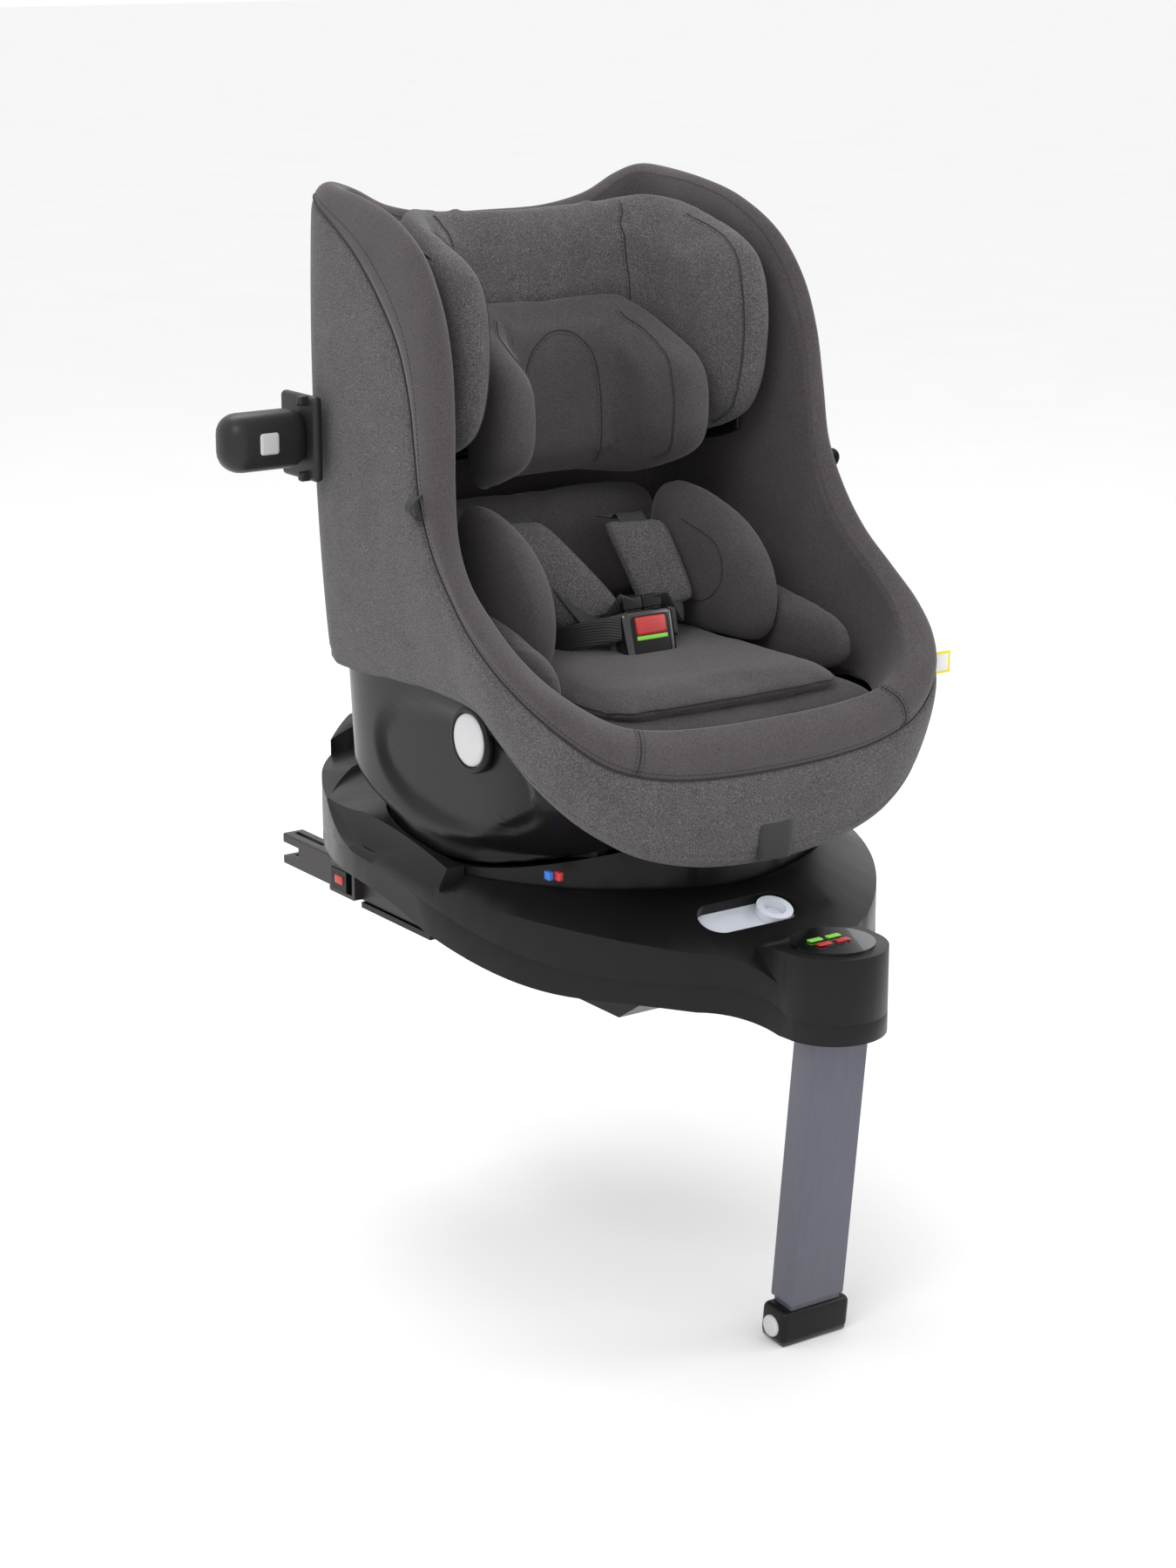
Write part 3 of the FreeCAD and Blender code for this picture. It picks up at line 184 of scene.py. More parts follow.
def melangeCloth():
    mat = newMaterial("melangeCloth", (0.1, 0.1, 0.1), 0.92, sheen=0.12, specular=0.2)
    flecks = objectNoise(mat, 900, 3.0, roughness=0.75)
    stops = [(0.34, (0.030, 0.028, 0.029)), (0.50, (0.076, 0.071, 0.073)), (0.66, (0.165, 0.157, 0.160))]
    colours = ramp(mat, flecks, stops)
    tinted(mat, colours, 0.08, 26)
    bumpFrom(mat, flecks, "Fac", 0.35, 0.0006)
    return mat


def heatherCloth(name, dark, light):
    mat = newMaterial(name, light, 0.88, sheen=0.15, specular=0.25)
    threads = objectNoise(mat, 420, 2.5, stretch=(1, 1, 3.2), roughness=0.7)
    colours = ramp(mat, threads, [(0.35, dark), (0.65, light)])
    tinted(mat, colours, 0.07, 20)
    bumpFrom(mat, threads, "Fac", 0.16, 0.0005)
    return mat


def webbingCloth():
    mat = newMaterial("webbingCloth", (0.012, 0.012, 0.013), 0.62, sheen=0.1)
    place = node(mat, "ShaderNodeTexCoord")
    ribs = node(mat, "ShaderNodeTexWave", wave_type="BANDS", bands_direction="DIAGONAL")
    ribs.inputs["Scale"].default_value = 210
    ribs.inputs["Distortion"].default_value = 1.2
    wire(mat, place, "Object", ribs, "Vector")
    colours = ramp(mat, ribs, [(0.2, (0.006, 0.006, 0.007)), (0.8, (0.022, 0.022, 0.024))])
    wire(mat, colours, "Color", mat.node_tree.nodes["Principled BSDF"], "Base Color")
    bumpFrom(mat, ribs, "Fac", 0.4, 0.0006)
    return mat


def mouldedPlastic(name, colour, roughness, grain=0.05, coat=0.0, specular=0.5):
    mat = newMaterial(name, colour, roughness, coat=coat, specular=specular)
    fine = objectNoise(mat, 1600, 2.0)
    slow = objectNoise(mat, 9, 3.0)
    spread = ramp(mat, slow, [(0.3, (roughness - 0.05,)), (0.7, (roughness + 0.06,))])
    wire(mat, spread, "Color", mat.node_tree.nodes["Principled BSDF"], "Roughness")
    hue = ramp(mat, slow, [(0.3, tuple(0.9 * c for c in colour)), (0.7, tuple(1.12 * c for c in colour))])
    wire(mat, hue, "Color", mat.node_tree.nodes["Principled BSDF"], "Base Color")
    bumpFrom(mat, fine, "Fac", grain, 0.0003)
    return mat


def coatedMetal(name, colour, roughness, metallic, stretch):
    mat = newMaterial(name, colour, roughness, metallic=metallic)
    streaks = objectNoise(mat, 160, 3.0, stretch=stretch)
    spread = ramp(mat, streaks, [(0.3, (roughness - 0.06,)), (0.7, (roughness + 0.08,))])
    wire(mat, spread, "Color", mat.node_tree.nodes["Principled BSDF"], "Roughness")
    hue = ramp(mat, streaks, [(0.3, tuple(0.93 * c for c in colour)), (0.7, tuple(1.07 * c for c in colour))])
    wire(mat, hue, "Color", mat.node_tree.nodes["Principled BSDF"], "Base Color")
    bumpFrom(mat, streaks, "Fac", 0.04, 0.0003)
    return mat


def paleFloor():
    mat = newMaterial("paleFloor", (0.92, 0.92, 0.92), 0.9, specular=0.1)
    faint = objectNoise(mat, 3, 2.0)
    hue = ramp(mat, faint, [(0.3, (0.915, 0.915, 0.915)), (0.7, (0.93, 0.93, 0.93))])
    wire(mat, hue, "Color", mat.node_tree.nodes["Principled BSDF"], "Base Color")
    return mat


finishes = {
    "melange": melangeCloth(),
    "trim": heatherCloth("trimCloth", (0.046, 0.039, 0.041), (0.082, 0.071, 0.074)),
    "pad": heatherCloth("padCloth", (0.044, 0.038, 0.040), (0.079, 0.069, 0.072)),
    "seam": heatherCloth("seamThread", (0.016, 0.014, 0.015), (0.034, 0.030, 0.031)),
    "webbing": webbingCloth(),
    "black": mouldedPlastic("blackPlastic", (0.0080, 0.0078, 0.0083), 0.34, specular=0.20),
    "panel": mouldedPlastic("panelPlastic", (0.0060, 0.0058, 0.0062), 0.28, specular=0.20),
    "pod": mouldedPlastic("podPlastic", (0.016, 0.0150, 0.0152), 0.42, specular=0.35),
    "gloss": mouldedPlastic("glossBlack", (0.006, 0.006, 0.007), 0.12, grain=0.0, coat=0.6),
    "light": mouldedPlastic("lightPlastic", (0.52, 0.52, 0.53), 0.45, grain=0.03),
    "ring": mouldedPlastic("ringPlastic", (0.70, 0.73, 0.80), 0.28, grain=0.0),
    "red": mouldedPlastic("redPlastic", (0.50, 0.030, 0.030), 0.30, grain=0.0),
    "green": mouldedPlastic("greenPlastic", (0.22, 0.62, 0.06), 0.35, grain=0.0),
    "blue": mouldedPlastic("bluePlastic", (0.03, 0.16, 0.55), 0.35, grain=0.0),
    "steel": coatedMetal("wornSteel", (0.42, 0.41, 0.40), 0.35, 0.9, (1, 1, 12)),
    "armSteel": coatedMetal("darkArm", (0.030, 0.026, 0.026), 0.42, 0.3, (1, 1, 8)),
    "leg": coatedMetal("legPaint", (0.105, 0.106, 0.135), 0.38, 0.35, (1, 1, 0.2)),
    "tag": mouldedPlastic("tagCloth", (0.80, 0.66, 0.03), 0.75, grain=0.1),
    "white": mouldedPlastic("whiteMark", (0.75, 0.75, 0.75), 0.5, grain=0.0),
}
makeCamera()
makeStudio()
print("camera, light and", len(finishes), "finishes made")

# ---- mesh tools, all lengths in millimetres until the mesh is written


def through(rows, count, loop=False):
    # a smooth run through the rows, spaced by row
    rows = np.asarray(rows, float)
    if loop:
        rows = np.vstack([rows, rows[:1]])
        ends = (rows[-2], rows[1])
    else:
        ends = (2 * rows[0] - rows[1], 2 * rows[-1] - rows[-2])
    knots = np.vstack([ends[0], rows, ends[1]])
    t = np.linspace(0, len(rows) - 1, count, endpoint=not loop)
    i = np.minimum(t.astype(int), len(rows) - 2)
    f = (t - i)[:, None]
    a, b, c, d = knots[i], knots[i + 1], knots[i + 2], knots[i + 3]
    return 0.5 * (2 * b + (c - a) * f + (2 * a - 5 * b + 4 * c - d) * f ** 2
                  + (3 * b - a - 3 * c + d) * f ** 3)


def between(x, xs, ys):
    return np.interp(x, xs, ys)


def newPiece(name, vertices, faces, finish, smooth=True):
    mesh = bpy.data.meshes.new(name)
    mesh.from_pydata([tuple(v) for v in np.asarray(vertices) * mm], [], faces)
    mesh.materials.append(finishes[finish])
    mesh.polygons.foreach_set("use_smooth", [smooth] * len(mesh.polygons))
    piece = bpy.data.objects.new(name, mesh)
    bpy.context.scene.collection.objects.link(piece)
    return piece


def gridFaces(rows, cols, loop=False, start=0):
    faces = []
    for i in range(rows if loop else rows - 1):
        j = (i + 1) % rows
        for k in range(cols - 1):
            a, b = start + i * cols + k, start + j * cols + k
            faces.append((a, b, b + 1, a + 1))
    return faces


def weld(piece, distance=0.02):
    # joins meeting points and turns the faces outwards
    mesh = bmesh.new()
    mesh.from_mesh(piece.data)
    bmesh.ops.remove_doubles(mesh, verts=mesh.verts, dist=distance * mm)
    bmesh.ops.recalc_face_normals(mesh, faces=mesh.faces)
    mesh.to_mesh(piece.data)
    mesh.free()
    return piece


def applied(piece):
    # the piece with its modifiers made real
    graph = bpy.context.evaluated_depsgraph_get()
    mesh = bpy.data.meshes.new_from_object(piece.evaluated_get(graph), depsgraph=graph)
    piece.modifiers.clear()
    piece.data = mesh
    return piece


def thickened(piece, wall, inwards=True):
    solid = piece.modifiers.new("wall", "SOLIDIFY")
    solid.thickness = wall * mm
    solid.offset = -1 if inwards else 1
    solid.use_rim = True
    return applied(piece)


def subdivided(piece, levels=1):
    smooth = piece.modifiers.new("smooth", "SUBSURF")
    smooth.levels = levels
    smooth.render_levels = levels
    return applied(piece)


def finished(piece, body, replaced=()):
    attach(piece, body)
    if replaced:
        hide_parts(*replaced)
    return piece


def roundedBlock(name, low, high, radius, finish, segments=4):
    corners = [(x, y, z) for x in (low[0], high[0]) for y in (low[1], high[1]) for z in (low[2], high[2])]
    faces = [(0, 1, 3, 2), (4, 6, 7, 5), (0, 4, 5, 1), (2, 3, 7, 6), (0, 2, 6, 4), (1, 5, 7, 3)]
    piece = weld(newPiece(name, corners, faces, finish))
    bevel = piece.modifiers.new("bevel", "BEVEL")
    bevel.width = radius * mm
    bevel.segments = segments
    bevel.limit_method = "NONE"
    return applied(piece)


def placed(piece, matrix):
    piece.data.transform(matrix)
    return piece


def joined(name, pieces):
    # several pieces as one mesh
    mesh = bmesh.new()
    slots = []
    for piece in pieces:
        start = len(mesh.faces)
        mesh.from_mesh(piece.data)
        mesh.faces.ensure_lookup_table()
        for face in mesh.faces[start:]:
            face.material_index += len(slots)
        slots += list(piece.data.materials)
    merged = bpy.data.meshes.new(name)
    mesh.to_mesh(merged)
    mesh.free()
    for material in slots:
        merged.materials.append(material)
    for piece in pieces:
        bpy.data.objects.remove(piece)
    made = bpy.data.objects.new(name, merged)
    bpy.context.scene.collection.objects.link(made)
    return made


def lathed(name, profile, matrix, finish, steps=48):
    # profile: (radius, height) from the axis out and back to it
    vertices, faces = [], []
    for i in range(steps):
        angle = 2 * math.pi * i / steps
        vertices += [(r * math.cos(angle), r * math.sin(angle), h) for r, h in profile]
    faces = gridFaces(steps, len(profile), loop=True)
    return placed(weld(newPiece(name, vertices, faces, finish)), matrix)


def tube(name, points, radius, finish, sides=6, loop=False):
    # a round cord of the given radius along points
    points = np.asarray(points, float)
    count = len(points)
    if loop:
        tangent = np.roll(points, -1, 0) - np.roll(points, 1, 0)
    else:
        tangent = np.gradient(points, axis=0)
    tangent /= np.linalg.norm(tangent, axis=1)[:, None] + 1e-9
    up = np.array([0.13, 0.21, 0.97])
    vertices = []
    for point, along in zip(points, tangent):
        side = np.cross(along, up)
        side /= np.linalg.norm(side) + 1e-9
        other = np.cross(side, along)
        for k in range(sides):
            angle = 2 * math.pi * k / sides
            vertices.append(point + radius * (math.cos(angle) * side + math.sin(angle) * other))
    faces = []
    for i in range(count if loop else count - 1):
        j = (i + 1) % count
        for k in range(sides):
            m = (k + 1) % sides
            faces.append((i * sides + k, j * sides + k, j * sides + m, i * sides + m))
    if not loop:
        faces += [tuple(range(sides)), tuple(range((count - 1) * sides, count * sides))]
    return weld(newPiece(name, vertices, faces, finish), 0.001)


def surfaceOf(piece):
    mesh = bmesh.new()
    mesh.from_mesh(piece.data)
    tree = BVHTree.FromBMesh(mesh)
    mesh.free()
    return tree


def laidOn(piece, points, lift=0.0):
    # points moved to the nearest place on the piece, then off it by lift
    tree = surfaceOf(piece)
    moved = []
    for point in np.asarray(points, float):
        place, normal, _, _ = tree.find_nearest(Vector(point * mm))
        moved.append(np.array(place + normal * lift * mm) / mm)
    return np.array(moved)


def puffed(piece, voxel=5.0, pressure=4.0, cap=8.0, frames=20):
    # swells a closed piece as stuffed cloth, then smooths it once
    remesh = piece.modifiers.new("even", "REMESH")
    remesh.mode = "VOXEL"
    remesh.voxel_size = voxel * mm
    applied(piece)
    start = np.array([v.co for v in piece.data.vertices])
    cloth = piece.modifiers.new("cloth", "CLOTH")
    cloth.settings.quality = 4
    cloth.settings.use_pressure = True
    cloth.settings.uniform_pressure_force = pressure
    cloth.settings.effector_weights.gravity = 0
    cloth.point_cache.frame_start = 1
    cloth.point_cache.frame_end = frames
    scene = bpy.context.scene
    for step in range(1, frames + 1):
        scene.frame_set(step)
    graph = bpy.context.evaluated_depsgraph_get()
    mesh = bpy.data.meshes.new_from_object(piece.evaluated_get(graph), depsgraph=graph)
    piece.modifiers.clear()
    scene.frame_set(1)
    end = np.array([v.co for v in mesh.vertices])
    move = end - start
    size = np.linalg.norm(move, axis=1)
    move *= np.minimum(1, cap * mm / np.maximum(size, 1e-9))[:, None]
    for vertex, place in zip(mesh.vertices, start + move):
        vertex.co = place
    finish = piece.data.materials[0]
    piece.data = mesh
    if not mesh.materials:
        mesh.materials.append(finish)
    mesh.polygons.foreach_set("use_smooth", [True] * len(mesh.polygons))
    relax = piece.modifiers.new("relax", "SMOOTH")
    relax.factor = 0.5
    relax.iterations = 3
    return subdivided(piece)


def seamLine(name, piece, points, body, radius=0.75, loop=False):
    # a sunken seam cord laid on a finished piece; the line it follows is returned
    points = through(points, 12 * len(points), loop)
    line = laidOn(piece, points, 0.15)
    cord = tube(name, line, radius, "seam", loop=loop)
    finished(cord, body)
    return line


def stitchTree():
    # stitches of a set length and thickness at even steps along a curve
    tree = bpy.data.node_groups.new("stitchRow", "GeometryNodeTree")
    face = tree.interface
    face.new_socket("Geometry", in_out="INPUT", socket_type="NodeSocketGeometry")
    for socketName in ("Pitch", "Stitch length", "Thickness"):
        face.new_socket(socketName, in_out="INPUT", socket_type="NodeSocketFloat")
    face.new_socket("Thread", in_out="INPUT", socket_type="NodeSocketMaterial")
    face.new_socket("Geometry", in_out="OUTPUT", socket_type="NodeSocketGeometry")
    add, link = tree.nodes.new, tree.links.new
    start, end = add("NodeGroupInput"), add("NodeGroupOutput")
    points = add("GeometryNodeResampleCurve")
    points.mode = "LENGTH"
    link(start.outputs["Geometry"], points.inputs["Curve"])
    link(start.outputs["Pitch"], points.inputs["Length"])
    thread = add("GeometryNodeMeshCylinder")
    thread.inputs["Vertices"].default_value = 6
    link(start.outputs["Thickness"], thread.inputs["Radius"])
    link(start.outputs["Stitch length"], thread.inputs["Depth"])
    tangent = add("GeometryNodeInputTangent")
    turn = add("FunctionNodeAlignRotationToVector")
    turn.axis = "Z"
    link(tangent.outputs["Tangent"], turn.inputs["Vector"])
    rows = add("GeometryNodeInstanceOnPoints")
    link(points.outputs["Curve"], rows.inputs["Points"])
    link(thread.outputs["Mesh"], rows.inputs["Instance"])
    link(turn.outputs["Rotation"], rows.inputs["Rotation"])
    real = add("GeometryNodeRealizeInstances")
    link(rows.outputs["Instances"], real.inputs["Geometry"])
    paint = add("GeometryNodeSetMaterial")
    link(real.outputs["Geometry"], paint.inputs["Geometry"])
    link(start.outputs["Thread"], paint.inputs["Material"])
    link(paint.outputs["Geometry"], end.inputs["Geometry"])
    return tree


stitchRow = stitchTree()


def stitches(name, lines, body, finish="seam", pitch=4.0, length=2.6, thickness=0.32):
    data = bpy.data.curves.new(name, "CURVE")
    data.dimensions = "3D"
    for line in lines:
        spline = data.splines.new("POLY")
        spline.points.add(len(line) - 1)
        spline.points.foreach_set("co", [c for p in line for c in (*(np.asarray(p) * mm), 1.0)])
    rows = bpy.data.objects.new(name, data)
    bpy.context.scene.collection.objects.link(rows)
    modifier = rows.modifiers.new("stitches", "NODES")
    modifier.node_group = stitchRow
    sizes = {"Pitch": pitch * mm, "Stitch length": length * mm, "Thickness": thickness * mm,
             "Thread": finishes[finish]}
    for item in stitchRow.interface.items_tree:
        if item.in_out == "INPUT" and item.name in sizes:
            modifier[item.identifier] = sizes[item.name]
    graph = bpy.context.evaluated_depsgraph_get()
    mesh = bpy.data.meshes.new_from_object(rows.evaluated_get(graph), depsgraph=graph)
    bpy.data.objects.remove(rows)
    made = bpy.data.objects.new(name, mesh)
    bpy.context.scene.collection.objects.link(made)
    return finished(made, body)


# ---- seat skin: the outer cover, the rolled rim and the lining, all lofted round one loop

# each row: seam xyz, hem xyz, crest xyz, inner edge xyz, lining foot xyz, outward swell
rimRows = [
    (0, 207, 660, 0, 186, 268, 0, 197, 674, 0, 184, 664, 0, 182, 258, 2),
    (60, 207, 661, 60, 186, 268, 61, 197, 675, 60, 184, 665, 58, 182, 258, 2),
    (112, 207, 672, 112, 186, 268, 111, 197, 684, 106, 184, 674, 100, 182, 258, 2),
    (152, 207, 689, 158, 184, 268, 148, 197, 701, 140, 184, 692, 140, 182, 258, 3),
    (184, 203, 698, 192, 172, 269, 174, 192, 709, 161, 181, 701, 162, 176, 258, 5),
    (199, 178, 690, 207, 148, 270, 188, 168, 707, 173, 160, 700, 178, 160, 258, 9),
    (204, 138, 673, 211, 118, 271, 193, 114, 699, 179, 112, 695, 184, 130, 258, 12),
    (207, 98, 652, 213, 92, 272, 197, 60, 685, 183, 58, 682, 186, 100, 258, 13),
    (211, 54, 619, 214, 66, 274, 202, 8, 657, 186, 10, 656, 187, 70, 258, 13),
    (215, 16, 581, 214, 40, 276, 207, -25, 618, 190, -24, 616, 188, 45, 258, 12),
    (219, -8, 537, 215, 14, 278, 211, -42, 572, 193, -42, 571, 188, 20, 258, 11),
    (222, -21, 491, 215, -12, 280, 215, -49, 519, 196, -50, 518, 188, -5, 258, 10),
    (224, -32, 449, 215, -38, 280, 219, -54, 468, 199, -54, 467, 188, -30, 258, 9),
    (227, -57, 407, 216, -64, 280, 224, -72, 424, 204, -66, 422, 188, -55, 258, 8),
    (230, -90, 374, 216, -92, 278, 228, -98, 389, 208, -90, 388, 188, -80, 258, 7),
    (233, -126, 347, 217, -122, 271, 230, -134, 361, 209, -124, 362, 188, -105, 258, 7),
    (232, -166, 322, 216, -152, 252, 227, -173, 336, 206, -160, 337, 188, -130, 258, 7),
    (223, -203, 298, 210, -182, 228, 216, -207, 313, 195, -190, 315, 184, -158, 258, 7),
    (203, -233, 273, 197, -212, 206, 195, -234, 292, 176, -216, 296, 168, -186, 256, 6),
    (170, -250, 249, 172, -233, 184, 164, -251, 271, 150, -232, 281, 148, -200, 256, 5),
    (125, -258, 235, 132, -246, 162, 122, -259, 258, 116, -240, 274, 112, -207, 256, 4),
    (70, -261, 228, 72, -251, 146, 69, -262, 252, 66, -243, 270, 64, -210, 256, 3),
    (0, -262, 226, 0, -253, 141, 0, -263, 250, 0, -244, 269, 0, -211, 256, 3),
]
skin = {"stations": 352, "coverCols": 46, "trimCols": 18, "liningCols": 16, "wall": 3.0,
        "seamDip": 2.2, "hemDip": 3.0, "bucketWall": 2.5}


def rimLoop(count):
    half = np.array(rimRows, float)
    flip = np.array([-1 if i % 3 == 0 and i < 15 else 1 for i in range(16)], float)
    whole = np.vstack([half, (half * flip)[-2:0:-1]])
    loop = through(whole, count, loop=True)
    return [loop[:, 3 * i:3 * i + 3] for i in range(5)] + [loop[:, 15]]


def outwards(line):
    # level directions pointing out of a loop that runs from the rear to the left side
    along = np.roll(line, -1, 0) - np.roll(line, 1, 0)
    out = np.stack([-along[:, 1], along[:, 0], 0 * along[:, 0]], 1)
    out *= np.sign((out * line).sum(1))[:, None]
    return out / (np.linalg.norm(out, axis=1)[:, None] + 1e-9)


seamLoop, hemLoop, crestLoop, innerLoop, footLoop, swell = rimLoop(skin["stations"])
outward = outwards(seamLoop)


def coverPoint(t):
    # across the outer cover, from the hem at 0 to the seam at 1
    drop = np.linalg.norm(seamLoop - hemLoop, axis=1)
    puff = swell * (4 * t * (1 - t)) ** 0.8
    puff -= skin["seamDip"] * np.exp(-((1 - t) * drop / 5) ** 2)
    puff -= skin["hemDip"] * np.exp(-(t * drop / 4) ** 2)
    puff -= 1.2 * np.exp(-((t * drop - 10) / 1.8) ** 2)
    return hemLoop * (1 - t) + seamLoop * t + outward * puff[:, None]


def trimPoint(t):
    # across the rolled rim, from the seam at 0 over the crest to the inner edge at 1
    pull = 2 * crestLoop - 0.5 * (seamLoop + innerLoop)
    flat = seamLoop * (1 - t) ** 2 + pull * 2 * t * (1 - t) + innerLoop * t ** 2
    length = np.linalg.norm(crestLoop - seamLoop, axis=1) * 2
    dip = skin["seamDip"] * np.exp(-(t * length / 5) ** 2)
    return flat - outward * dip[:, None]


def liningPoint(t):
    return innerLoop * (1 - t) + footLoop * t


def bucketPoint(t):
    # between the cover and the lining
    return 0.55 * coverPoint(0.2 + 0.6 * t) + 0.45 * liningPoint(0.9 - 0.7 * t)


def skinPiece(name, point, spread, finish):
    grid = np.stack([point(t) for t in spread], 1)
    rows, cols = grid.shape[:2]
    piece = newPiece(name, grid.reshape(-1, 3), gridFaces(rows, cols, loop=True), finish)
    mesh = bmesh.new()
    mesh.from_mesh(piece.data)
    face = max(mesh.faces, key=lambda f: f.calc_center_median().x)
    if face.normal.x < 0:
        bmesh.ops.reverse_faces(mesh, faces=mesh.faces)
    mesh.to_mesh(piece.data)
    mesh.free()
    return piece


# the spread packs rows near the hem and the seam, where the cloth turns in
def packed(count, power=0.7):
    t = np.linspace(-1, 1, count)
    return 0.5 + 0.5 * np.sign(t) * np.abs(t) ** power


def makeSeatSkin():
    cover = skinPiece("outerCover", coverPoint, packed(skin["coverCols"], 0.55), "melange")
    cover = thickened(cover, skin["wall"])
    finished(cover, "seat", ["shell_cover"])
    rim = skinPiece("rimTrim", trimPoint, packed(skin["trimCols"], 0.8), "trim")
    rim = thickened(rim, skin["wall"])
    finished(rim, "seat", ["rim_trim"])
    lining = skinPiece("innerLining", liningPoint, np.linspace(0, 1, skin["liningCols"]), "trim")
    lining = thickened(lining, skin["wall"], inwards=False)
    finished(lining, "seat", ["inner_lining"])
    middle = skinPiece("seatBucket", bucketPoint, np.linspace(0, 1, 14), "black")
    finished(thickened(middle, skin["bucketWall"]), "seat", ["seat_shell"])
    lines = []
    for side in (1, -1):
        # the front lip is its own panel, sewn in near each corner
        station = int(np.argmin(np.linalg.norm(seamLoop - np.array([side * 150, -254, 242]), axis=1)))
        cross = np.array([trimPoint(t)[station] for t in np.linspace(0.02, 1, 14)])
        line = laidOn(rim, cross, 0.2)
        label = "Left" if side > 0 else "Right"
        finished(tube("lipSeam" + label, line, 0.8, "seam"), "seat")
        for shift in (-4, 4):
            lines.append(laidOn(rim, cross + np.array([shift, 0, 0]), 0.1))
    finished(tube("rimSeam", seamLoop - outward * 1.6, 1.0, "seam", loop=True), "seat")
    row = laidOn(rim, trimPoint(0.1), 0.1)
    lines.append(np.vstack([row, row[:1]]))
    hem = coverPoint(0.0)
    hemRow = laidOn(cover, hem + np.array([0, 0, 6.5]), 0.1)
    stitches("rimStitches", lines, "seat", pitch=4.4, length=2.8, thickness=0.35)
    stitches("hemStitches", [np.vstack([hemRow, hemRow[:1]])], "seat",
             pitch=4.4, length=2.8, thickness=0.35)


makeSeatSkin()
print("seat skin made")

# ---- lower shell: the tub below the hem, with a shallow oval dish in each side

tub = {"arcCentre": (-20, 560), "arcRadius": 436, "lowHalf": 203, "highHalf": 213, "top": 287,
       "dish": (-52, 212, 128, 58, 5.0)}


def makeLowerShell():
    low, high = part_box("lower_shell")
    frontY, rearY = low.y / mm, high.y / mm
    count, cols = 320, 40
    halfY, midY = (rearY - frontY) / 2, (rearY + frontY) / 2
    grid = np.zeros((count, cols, 3))
    for i in range(count):
        angle = 2 * math.pi * i / count
        cx, cy = math.cos(angle), math.sin(angle)
        x0 = abs(cx) ** 0.42 * math.copysign(1, cx)
        y0 = abs(cy) ** 0.42 * math.copysign(1, cy)
        for k in range(cols):
            t = k / (cols - 1)
            y = midY + halfY * y0 * (1 if t < 0.6 else 1 - 0.12 * (t - 0.6) / 0.4)
            floor = tub["arcCentre"][1] - math.sqrt(tub["arcRadius"] ** 2 - (y - tub["arcCentre"][0]) ** 2)
            if t < 0.6:
                s = t / 0.6
                top = between(y, (-250, -212, -160, -122, -60), (150, 212, 248, 277, tub["top"]))
                z = top + (floor + 9 - top) * s
                lean = 1.0
            else:
                s = (t - 0.6) / 0.4
                turn = min(1, s * 4) * math.pi / 2
                z = floor + 9 * (1 - math.sin(turn))
                lean = (1 - 0.03 * (1 - math.cos(turn))) * (1 - max(0, (s - 0.25) / 0.75))
            half = between(z, (110, 290), (tub["lowHalf"], tub["highHalf"]))
            if cy > 0.6:
                y = min(y, between(z, (120, 222, 290), (116, 184, rearY)))
            x = half * x0 * lean
            reach = math.hypot(x, y)
            limit = between(z, (142, 200, 290), (203.5, 259, 330))
            if reach > limit:
                x, y = x * limit / reach, y * limit / reach
            dishY, dishZ, wide, tall, deep = tub["dish"]
            inside = 1 - ((y - dishY) / wide) ** 2 - ((z - dishZ) / tall) ** 2
            if abs(x) > 150 and inside > 0:
                x -= math.copysign(deep * min(1, inside / 0.16) ** 1.5, x)
            grid[i, k] = (x, y, z)
    shell = newPiece("lowerShell", grid.reshape(-1, 3), gridFaces(count, cols, loop=True), "panel")
    shell = weld(shell, 0.2)
    finished(thickened(shell, 2.0), "seat", ["lower_shell"])


makeLowerShell()
print("lower shell made")

# ---- padded pieces


def lobe(name, outline, place, front, back, finish, count=96, rings=22, fullness=2.6):
    # a stuffed form on a flat outline: place maps (u, v, height) into the seat
    edge = through(outline, count, loop=True)
    middle = edge.mean(0)
    vertices, faces = [], []
    for side, depth in ((1, front), (-1, back)):
        for r in np.linspace(0, 1, rings):
            rise = side * depth * (1 - r ** fullness) ** 0.5
            for u, v in middle + (edge - middle) * r:
                vertices.append(place(u, v, rise))
    for half in range(2):
        start = half * rings * count
        for i in range(rings - 1):
            for k in range(count):
                j = (k + 1) % count
                a, b = start + i * count + k, start + i * count + j
                faces.append((a, b, b + count, a + count) if half == 0 else (a, a + count, b + count, b))
    return weld(newPiece(name, vertices, faces, finish), 0.3)


